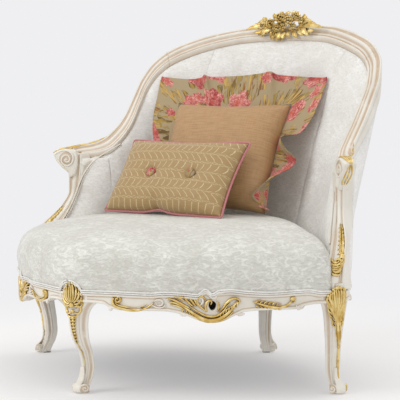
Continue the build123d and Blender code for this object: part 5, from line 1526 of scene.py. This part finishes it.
def crest_carving():
    c = Carving()
    # Long leaves that run out along the rail, and smaller ones over and under them
    for way in (-1, 1):
        tip = 152 + way * 8 + 8
        for points, *shape in (
            ([(40, 1000), (80, 1012), (118, 1008), (tip, 1000)], 11, (8, 12, 10, 4), 0.5, 0.4, 5, 0.14, 30),
            ([(60, 1008), (88, 1024), (112, 1020)], 8, (6, 10, 4), 0.4, 0.4, 4, 0.15, 22),
            ([(50, 1004), (78, 996), (96, 984), (108, 988)], 9, (12, 16, 13, 9), 0.2, 0.4, 4, 0.15, 24),
            ([(84, 1002), (100, 992), (122, 992)], 7, (10, 12, 8), 0.3, 0.4, 3, 0.15, 18),
        ):
            crest_blade(c, flip(points, way), *shape)
    # Drooping leaves below the blooms, and the stalks that hold them
    for points, width in (
        ([(-40, 996), (-50, 980), (-58, 968)], 10), ([(-20, 992), (-30, 976), (-46, 966)], 10),
        ([(10, 996), (14, 982), (12, 970)], 8), ([(28, 996), (42, 984), (52, 970)], 8),
        ([(-4, 990), (-14, 972), (-24, 966)], 8), ([(50, 1000), (66, 988), (78, 978)], 7),
        ([(-66, 1000), (-84, 988), (-92, 976)], 7),
    ):
        crest_blade(c, points, width, (10, 17, 12), 0.1, 0.45, 3, 0.18, 20)
    for points in (
        [(-120, 1002), (-80, 1006), (-40, 1016), (0, 1022), (40, 1026), (84, 1014), (122, 1000)],
        [(-60, 996), (-34, 1008), (-6, 1034), (12, 1044)], [(6, 1010), (30, 1030), (44, 1044), (58, 1034)],
        [(-30, 990), (0, 1000), (30, 996), (60, 1004), (96, 1004)],
    ):
        found = [crest_at(s, z, 8) for s, z in curve_through(points, 40)]
        c.rib([spot for spot, _ in found], [normal for _, normal in found],
              taper(40, 3.4, 0.4, 0.3, 0.5), taper(40, 4.2, 0.4, 0.3, 0.5))
    # Blooms: along, height, distance out, radius and turn
    for s, z, out, radius, turn in (
        (-62, 1018, 13, 17, 0.2), (-24, 1034, 14, 19, 0.9), (14, 1026, 18, 18, 1.6), (40, 1040, 10, 14, 0.4),
        (62, 1026, 11, 14, 1.1), (-34, 1004, 20, 15, 0.6), (-8, 1006, 21, 14, 2.0), (88, 1013, 9, 10, 0.3),
        (-94, 1010, 10, 11, 0.7), (30, 1008, 16, 12, 1.3), (-44, 984, 17, 12, 0.5),
    ):
        spot, normal = crest_at(s, z, out - 5)
        c.bloom(spot, normal + np.array([0.12 * sin(s), 0, 0.35 + 0.12 * cos(s)]), radius, turn=turn)
    # Leaves tucked between the blooms and up over the top
    for points, width in (
        ([(-40, 1028), (-46, 1042), (-56, 1044)], 7), ([(0, 1036), (6, 1048), (16, 1052)], 7),
        ([(24, 1036), (30, 1050), (38, 1053)], 6), ([(-74, 1022), (-84, 1032), (-96, 1030)], 7),
        ([(66, 1034), (78, 1036), (88, 1028)], 7), ([(-10, 1036), (-14, 1048), (-22, 1052)], 6),
        ([(48, 1012), (62, 1010), (74, 1002)], 7),
    ):
        crest_blade(c, points, width, (6, 10, 6), 0.5, 0.4, 3, 0.16, 16)
    return c


crest_carving().done("crest_spray_carved", nodes=["crest_spray"])

# Inside panels and outside covers, by their angles in the fan
first_seam, last_seam, wall_end = 54, 126, -10
# How far a seam of the inside pad leans over, by the share of the height
seam_lean = smooth_line(((0.0, 1.5), (0.5, 3.2), (0.76, 3.4), (0.9, 1.2), (1.0, -2.2)))


def pad_panel(name, first, last, count, node, lean_first=True, lean_last=True):
    """Padded panel: a crowned face that rolls in to its seams and to the rail."""
    # Share of the height, base and top of the layer: up the face, then down behind it
    stops = [(part, pad_depth, 0) for part in np.linspace(0, 1, 46)]
    stops += [(part, 30, 0.4) for part in (1, 0.66, 0.33, 0)]
    loops, uv = [], []
    for across in np.linspace(0, 1, count):
        edge = 2 * across - 1
        crown = pad_swell * (0.42 + 0.58 * max(1 - abs(edge) ** 9, 0) ** 0.6)
        loop = []
        for part, base, top in stops:
            lean = seam_lean(part)
            start, end = first + lean * lean_first, last + lean * lean_last
            angle = start + (end - start) * across
            foot, head = layer(angle, base, top)
            radius, height = foot + (head - foot) * part
            if base == pad_depth:
                radius -= crown * crowned(part) + 1.1 * sin(9 * part + edge * 5) * sin(pi * part)
            loop.append(fan_point(angle, radius, height))
            uv.append((wrap_radius * radians(angle), height))
        loops.append(loop)
    return swept(name, loops, "upholstery_velvet", [node], None, uv)


pad_panel("right_inside_panel_padded", wall_end, first_seam - 0.04, 130, "right_inside_panel",
          lean_first=False)
pad_panel("middle_inside_panel_padded", first_seam + 0.04, last_seam - 0.04, 150, "middle_inside_panel")
pad_panel("left_inside_panel_padded", last_seam + 0.04, 180 - wall_end, 130, "left_inside_panel",
          lean_last=False)


def seam_cords():
    """Thin welt along each seam of the inside pad."""
    c = Carving()
    for seam in (first_seam, last_seam):
        line = []
        for part in np.linspace(0.03, 0.985, 70):
            angle = seam + seam_lean(part)
            foot, head = layer(angle, pad_depth, 0)
            radius, height = foot + (head - foot) * part
            line.append(fan_point(angle, radius - 6.6 * crowned(part), height))
        c.cord(line, [unit([-p[0], fan_y - p[1], 0]) for p in line], 2.4)
    return c


seam_cords().done("inside_seam_welts", "upholstery_velvet")


def outside_cover(name, first, last, count, node):
    """Cloth cover with a slight bulge over the outside of the frame."""
    loops, uv = [], []
    for angle in np.linspace(first, last, count):
        loop = []
        for wall, parts in ((layer(angle, 0.3, 0.94, 288), np.linspace(0, 1, 24)),
                            (layer(angle, 3, 0.88), np.linspace(1, 0, 24))):
            for part in parts:
                fade = limit((right_half(angle) + 10) / 14)
                bulge = 6 * sin(pi * part) ** 0.8 * fade if 0 < part < 1 else 0
                radius, height = wall[0] + (wall[1] - wall[0]) * part
                loop.append(fan_point(angle, radius + bulge, height))
                uv.append((wrap_radius * radians(angle), height))
        loops.append(loop)
    return swept(name, loops, "upholstery_velvet", [node], None, uv)


twin(outside_cover("right_outside_cover_cloth", wall_end, first_seam, 110, "right_outside_cover"))
outside_cover("middle_outside_cover_cloth", first_seam + 0.14, last_seam - 0.14, 120, "middle_outside_cover")

# Seat's dome: share of the height, swell at the front, lean at the back, share of the outline's size
dome = smooth_table((
    (0.0, 0.5, 0.0, 1.0), (0.16, 1.0, 0.2, 1.0), (0.34, 0.5, 0.45, 1.0), (0.45, 0.1, 0.6, 0.997),
    (0.54, 0.0, 0.7, 0.988), (0.62, 0.0, 0.8, 0.97), (0.70, 0.0, 0.9, 0.94), (0.775, 0.0, 1.0, 0.897),
    (0.85, 0.0, 1.0, 0.823), (0.92, 0.0, 1.0, 0.742), (0.965, 0.0, 1.0, 0.647), (1.0, 0.0, 1.0, 0.52),
))
seat_low, seat_high, seat_middle, seat_fill = 304.1, 441.0, np.array([0, 230.0]), 0.95


def seat_ring(front_out, back_out, spread=0.0):
    """Seat outline, right half from the front to the back, then the left half."""
    half_front = [front.at(x, 0, front_out)[0][:2] for x in np.linspace(0, front.chord * 0.94, 75)]
    corner = right_corner + [-65 + 27 * spread, 24 - 15 * spread]
    half_back = [back.at(x, 0, back_out)[0][:2] for x in np.linspace(125, back.chord, 75)]
    right = evenly(np.array(half_front + [corner] + [p for p in half_back if p[0] > 0]), 170)
    right[0][0] = 0
    return np.vstack([right, right[-1:0:-1] * [-1, 1]])[:-1]


def seat_edge(point):
    """Lower edge of the cover: over the front rails' top, or behind the arms and the back."""
    x = ([abs(point[0]), point[1]] - front_corner) @ front.run
    return front_lip(x) - 0.5 if point[1] < -40 and x < front.chord - 30 else 288.0


def seat_cover():
    """Sprung seat: the cloth rises from behind the rail's bead, rolls out and closes over the springs."""
    loops = []
    for share, out in ((0.0, -5.0), (0.12, 1.5), (0.35, 4.0), (0.7, 4.6)):
        ring = seat_ring(out, -88, 1.0)
        lips = loop_smooth(np.array([[seat_edge(p)] for p in ring]), 4)[:, 0]
        loops.append(np.column_stack([ring, lips + (seat_low - lips) * share]))
    for share in np.concatenate([np.linspace(0, 0.7, 40, endpoint=False), np.linspace(0.7, 1.0, 34)]):
        swell, lean, scale = dome(share)
        ring = seat_ring(8 * swell + 0.8, 2 * lean - 88, 1 - limit((share - 0.28) / 0.35))
        ring = seat_middle + (loop_smooth(ring, 10) - seat_middle) * scale
        loops.append(np.column_stack([ring, np.full(len(ring), seat_low + (seat_high - seat_low) * share)]))
    for step in np.linspace(0.9, 0.04, 22):
        closing = seat_middle + (ring - seat_middle) * step
        loops.append(np.column_stack([closing, np.full(len(ring), seat_high + 3.0 * (1 - step**2))]))
    loops = np.array(loops)
    x, y, z = loops[..., 0], loops[..., 1], loops[..., 2]
    z += np.sin(x / 47 + 1.3 * np.sin(y / 61)) * np.sin(y / 53) * (z > 400)
    # Every point of the seat cover carries the mark for the velvet's painted shade
    gilt_wear_and_seat_shade = np.ones(z.size)
    obj = swept("seat_cover_sprung", loops, "upholstery_velvet", ["seat_cover", "seat_stuffing"], gilt_wear_and_seat_shade)
    return obj


seat_cover()


# Cushions: planes that lean back against the pad. More of their thickness lies before the seam than behind
front_share, back_share = 0.70, 0.30


class Leaning:
    """Plane with x across, y up along it and z out of its front."""

    def __init__(self, middle, lean, turn):
        lean, turn = radians(lean), radians(turn)
        self.middle = np.array(middle, float)
        self.across = np.array([cos(turn), sin(turn), 0.0])
        self.front = np.array([sin(turn) * cos(lean), -cos(turn) * cos(lean), sin(lean)])
        self.up = np.cross(self.front, self.across)

    def at(self, x, y, z=0.0):
        return self.middle + self.across * x + self.up * y + self.front * z


def pillow(name, plane, half_width, half_height, thick, draw, slot, node, size,
           dips=None, low_edge=None):
    """Plump cushion: two crowned faces joined at a seam whose sides draw in between the corners."""
    def spot(x, y, side):
        px = half_width * x - draw * (1 - y * y) * x
        py = half_height * y - draw * (1 - x * x) * y
        if low_edge and y < 0:
            py = half_height * y - low_edge(px) * y
        swell = ((1 - x**4) * (1 - y**4)) ** 0.5
        if side < 0:
            return px, py, -thick * back_share * swell
        corner = (abs(x) * abs(y)) ** 1.5
        pull = 2.4 * sin(26 * (x - y)) * corner * (1 - max(abs(x), abs(y)) ** 6)
        pull += 0.96 * sin(11 * x + 4 * y) * sin(7 * y) * swell
        if dips:
            pull -= dips(px, py) * swell
        return px, py, thick * front_share * swell + pull

    verts, uv, index, faces = [], [], {}, []
    for side in (1, -1):
        for j, y in enumerate(np.linspace(-1, 1, size)):
            for i, x in enumerate(np.linspace(-1, 1, size)):
                seam = i in (0, size - 1) or j in (0, size - 1)
                if seam and side < 0:
                    index[i, j, side] = index[i, j, 1]
                    continue
                px, py, pz = spot(x, y, side)
                index[i, j, side] = len(verts)
                verts.append(plane.at(px, py, 0 if seam else pz))
                uv.append((px + 500, py + 500))
        for j in range(size - 1):
            for i in range(size - 1):
                quad = [index[i + a, j + b, side] for a, b in ((0, 0), (1, 0), (1, 1), (0, 1))]
                faces.append(quad[::side])
    return piece(name, verts, faces, slot, [node], None, uv)


square = Leaning((-78, 255.6, 607), 28, 8)
pillow("square_cushion_silk", square, half_width=197, half_height=181, thick=100, draw=14, slot="tan_silk",
       node="square_cushion", size=72)

# Flange round the square cushion, from the lower left corner over the top to the lower right: place at the
# seam, place at the edge, and how far the edge stands off
flange_stops = (
    (-198, -182, -232, -176, 8), (-190, -90, -226, -80, 8), (-184, 0, -236, 8, 10),
    (-184.5, 40, -247, 48, 14), (-187, 85, -261, 84, 15), (-191, 130, -273, 135, 14),
    (-196, 162, -277, 205, 15), (-199, 183, -279, 266, 18), (-188, 181, -262, 266, 20),
    (-140, 176, -180, 262, 14), (-100, 172, -132, 264, 20), (-84, 171, -108, 263, 42),
    (-64, 170, -92, 266, 22), (0, 169, 4, 271, 18), (75, 171, 80, 275, 26), (120, 173, 122, 273, 42),
    (140, 175, 150, 270, 24), (186, 181, 282, 262, 22), (199, 183, 307, 261, 22), (197, 162, 303, 215, 19),
    (192, 128, 298, 186, 18), (187, 100, 285, 128, 16), (185.5, 84, 262, 86, 14), (185, 74, 248, 70, 24),
    (184.5, 62, 226, 58, 46), (184, 44, 222, 36, 60), (184, 26, 240, 12, 44), (184, 10, 264, -6, 16),
    (184, -8, 258, -30, 14), (184.5, -30, 238, -58, 30), (185.5, -50, 216, -88, 50),
    (187, -72, 190, -124, 60), (189, -92, 172, -146, 56), (191, -108, 176, -156, 30),
    (192, -122, 196, -158, 14), (194, -138, 200, -166, 22), (195, -150, 196, -176, 46),
    (197, -166, 212, -182, 50), (198, -178, 228, -178, 30),
)
flange_width = 95


def flange_cloth():
    """Floral flange: flat and mitred at the top corners, folded to and fro down the right side."""
    points, uv = [], []
    run, before = 0.0, None
    for x, y, far_x, far_y, lift in curve_through(flange_stops, 460):
        edge = np.array([far_x, far_y, lift])
        if before is not None:
            run += float(np.linalg.norm(edge - before)) * 0.82
        before = edge
        column = []
        for part in np.linspace(0, 1, 28):
            curl = 6 * sin(pi * part) * (1 if far_x > 150 else 0.3) * (lift > 28)
            out = lift * part**1.35 + 0.6 + curl
            column.append(square.at(x + (far_x - x) * part, y + (far_y - y) * part, out))
            uv.append((run, flange_width * part))
        points.append(column)
    return np.array(points), uv


def sheet_piece(name, points, uv, thick, slot, node):
    """Cloth of some thickness over a grid of points."""
    rows, columns = points.shape[:2]
    normals = np.cross(np.gradient(points, axis=0), np.gradient(points, axis=1))
    normals /= np.maximum(np.linalg.norm(normals, axis=2), 1e-9)[..., None]
    top, low = ((points + normals * side * thick / 2).reshape(-1, 3) for side in (1, -1))
    verts, faces = double_skin(top, low, rows, columns)
    return face_out(piece(name, verts, faces, slot, [node], None, np.vstack([uv, uv])))


def sheet_area(points):
    a, b, c, d = points[:-1, :-1], points[1:, :-1], points[1:, 1:], points[:-1, 1:]
    halves = (np.linalg.norm(np.cross(u, v), axis=2) for u, v in ((b - a, c - a), (c - a, d - a)))
    return float(sum(halves).sum() / 2)


flange_points, flange_uv = flange_cloth()
flange = sheet_piece("square_cushion_flange_ruffle", flange_points, flange_uv, 1.6, "floral_cloth",
                     "square_cushion_flange")
flat_width = flange_width * 0.001
flat_length = sheet_area(flange_points) * 1e-6 / flat_width

lumbar = Leaning((-126, 100, 550.9), 34, 0)
lumbar_half, lumbar_thick, lumbar_draw = 221, 80, 12
button_spots = ((-66, -8), (86, -8))


def lumbar_dips(x, y):
    """How far the tufts and the creases between them pull the face in."""
    total = 11 * np.exp(-((x + 14) / 12) ** 2) * np.exp(-((y + 124) / 55) ** 2)
    for spot_x, spot_y in button_spots:
        away = hypot(x - spot_x, y - spot_y)
        total += 15 * np.exp(-(away / 17) ** 2) + 8 * np.exp(-(away / 42) ** 2)
        total += 4 * np.exp(-((y - spot_y) / 7) ** 2) * np.exp(-((x - spot_x) / 60) ** 2)
    return total


def lumbar_low(x):
    """How far the lower edge is drawn up: a notch under the crease between the tufts."""
    return 1.5 * (1 - (x / lumbar_half) ** 2) + 13 * np.exp(-(abs(x + 14) / 34) ** 1.4)


pillow("lumbar_cushion_stitched", lumbar, half_width=lumbar_half, half_height=124, thick=lumbar_thick,
       draw=lumbar_draw, slot="stitched_cloth", node="lumbar_cushion", size=90, dips=lumbar_dips,
       low_edge=lumbar_low)


def piping():
    """Cord sewn all round the lumbar cushion."""
    half_width, half_height, radius = 224.5, 126.5, 3.2
    long_side, short_side = (np.linspace(-1, 1, count, endpoint=False) for count in (120, 70))
    stops = [(half_width * t, -half_height + lumbar_low(half_width * t)) for t in long_side]
    stops += [(half_width - lumbar_draw * (1 - t * t), half_height * t) for t in short_side]
    stops += [(-half_width * t, half_height - lumbar_draw * (1 - t * t)) for t in long_side]
    stops += [(lumbar_draw * (1 - t * t) - half_width, -half_height * t) for t in short_side]
    flat = loop_smooth(np.array(stops), 3)
    loops, uv = [], []
    run = 0.0
    for k, (x, y) in enumerate(flat):
        ahead = flat[(k + 1) % len(flat)] - flat[k - 1]
        run += float(np.linalg.norm(ahead)) / 2
        side = unit([-ahead[1], ahead[0]]) * radius
        lift = 9 * max(0.0, y / half_height) ** 2 * (1 - min(abs(x) / half_width, 1) ** 8)
        loops.append([lumbar.at(x + side[0] * cos(t), y + side[1] * cos(t), lift + radius * sin(t))
                      for t in turns(12)])
        uv += [(run, 12 * t) for t in np.linspace(0, 1, 12, endpoint=False)]
    return swept("lumbar_piping_cord", loops, "piping_cloth", ["lumbar_piping"], None, uv, closed=True)


piping()


def buttons():
    """Covered buttons: radius and rise over each tuft."""
    c = Carving()
    for x, y in button_spots:
        centre = lumbar.at(x, y, lumbar_thick * front_share - 15)
        c.add(*skin([[centre + lumbar.front * rise
                      + (lumbar.across * cos(t) + lumbar.up * sin(t)) * radius * (1 + 0.03 * sin(9 * t))
                      for t in turns(32)]
                     for radius, rise in ((15, -1), (15.4, 1.5), (14.6, 4), (12, 6.4), (8, 8), (3.5, 8.6))]))
    return c.done("lumbar_buttons_covered", "button_cloth", ["lumbar_buttons"])


buttons()

# Nodes that stay as they are take the material of their slot
for entry in frame["record"]["subparts"]:
    node = frame["nodes"][entry["node"]]
    if not node.hide_render:
        dress(node, entry["material_slot"])


# Floor, light and camera
backdrop = rgb(239, 239, 241)


def floor():
    """White floor that fades into the backdrop away from the chair."""
    mesh = bpy.data.meshes.new("floor")
    mesh.from_pydata([(-30, -30, 0), (30, -30, 0), (30, 30, 0), (-30, 30, 0)], [], [(0, 1, 2, 3)])
    obj = bpy.data.objects.new("floor", mesh)
    scene.collection.objects.link(obj)
    mat = bpy.data.materials.new("floor")
    mat.use_nodes = True
    m = Shading(mat.node_tree)
    out = m.add("ShaderNodeOutputMaterial")
    shade = m.add("ShaderNodeBsdfDiffuse", {"Color": rgb(250, 248, 246)}).outputs[0]
    glow = m.add("ShaderNodeEmission", {"Color": backdrop, "Strength": 1.0}).outputs[0]
    far = m.add("ShaderNodeVectorMath", {0: m.place()}, operation="LENGTH").outputs["Value"]
    part = m.plus(m.times(m.step(far, 0.75, 1.9), 0.66), 0.34)
    m.put(out.inputs[0], m.add("ShaderNodeMixShader", {0: part, 1: shade, 2: glow}).outputs[0])
    mesh.materials.append(mat)


def lamp(name, location, target, size, power):
    data = bpy.data.lights.new(name, "AREA")
    data.shape = "DISK"
    data.size = size
    data.energy = power
    obj = bpy.data.objects.new(name, data)
    scene.collection.objects.link(obj)
    obj.location = location
    obj.rotation_euler = (Vector(target) - Vector(location)).to_track_quat("-Z", "Y").to_euler()


def sky():
    """Soft white light all round; the camera and clear reflections see the backdrop instead."""
    world = bpy.data.worlds.new("studio")
    scene.world = world
    world.use_nodes = True
    m = Shading(world.node_tree)
    out = m.add("ShaderNodeOutputWorld")
    seen = m.add("ShaderNodeBackground", {"Color": backdrop, "Strength": 1.0}).outputs[0]
    light = m.add("ShaderNodeBackground", {"Color": (1.0, 1.0, 1.0, 1.0), "Strength": 0.77}).outputs[0]
    path = m.add("ShaderNodeLightPath").outputs
    rays = m.math("MAXIMUM", path["Is Camera Ray"],
                  m.math("MAXIMUM", path["Is Glossy Ray"], path["Is Transmission Ray"]))
    m.put(out.inputs[0], m.add("ShaderNodeMixShader", {0: rays, 1: light, 2: seen}).outputs[0])


floor()
lamp("key", (-1.6, -3.2, 2.9), (0, 0, 0.4), size=2.4, power=56)
lamp("fill", (3.6, -1.6, 2.0), (0, 0, 0.5), size=2.6, power=10)
lamp("top", (0.6, 1.4, 3.8), (0, 0, 0.4), size=2.4, power=24)
sky()

camera_data = bpy.data.cameras.new("camera")
camera_data.lens = 143.83
camera_data.sensor_width = 36
camera = bpy.data.objects.new("camera", camera_data)
scene.collection.objects.link(camera)
camera.location = (2.8866, -3.5978, 0.8187)
camera.rotation_euler = (radians(85.9793), 0, radians(38.322))
scene.camera = camera
scene.view_settings.view_transform = "Standard"
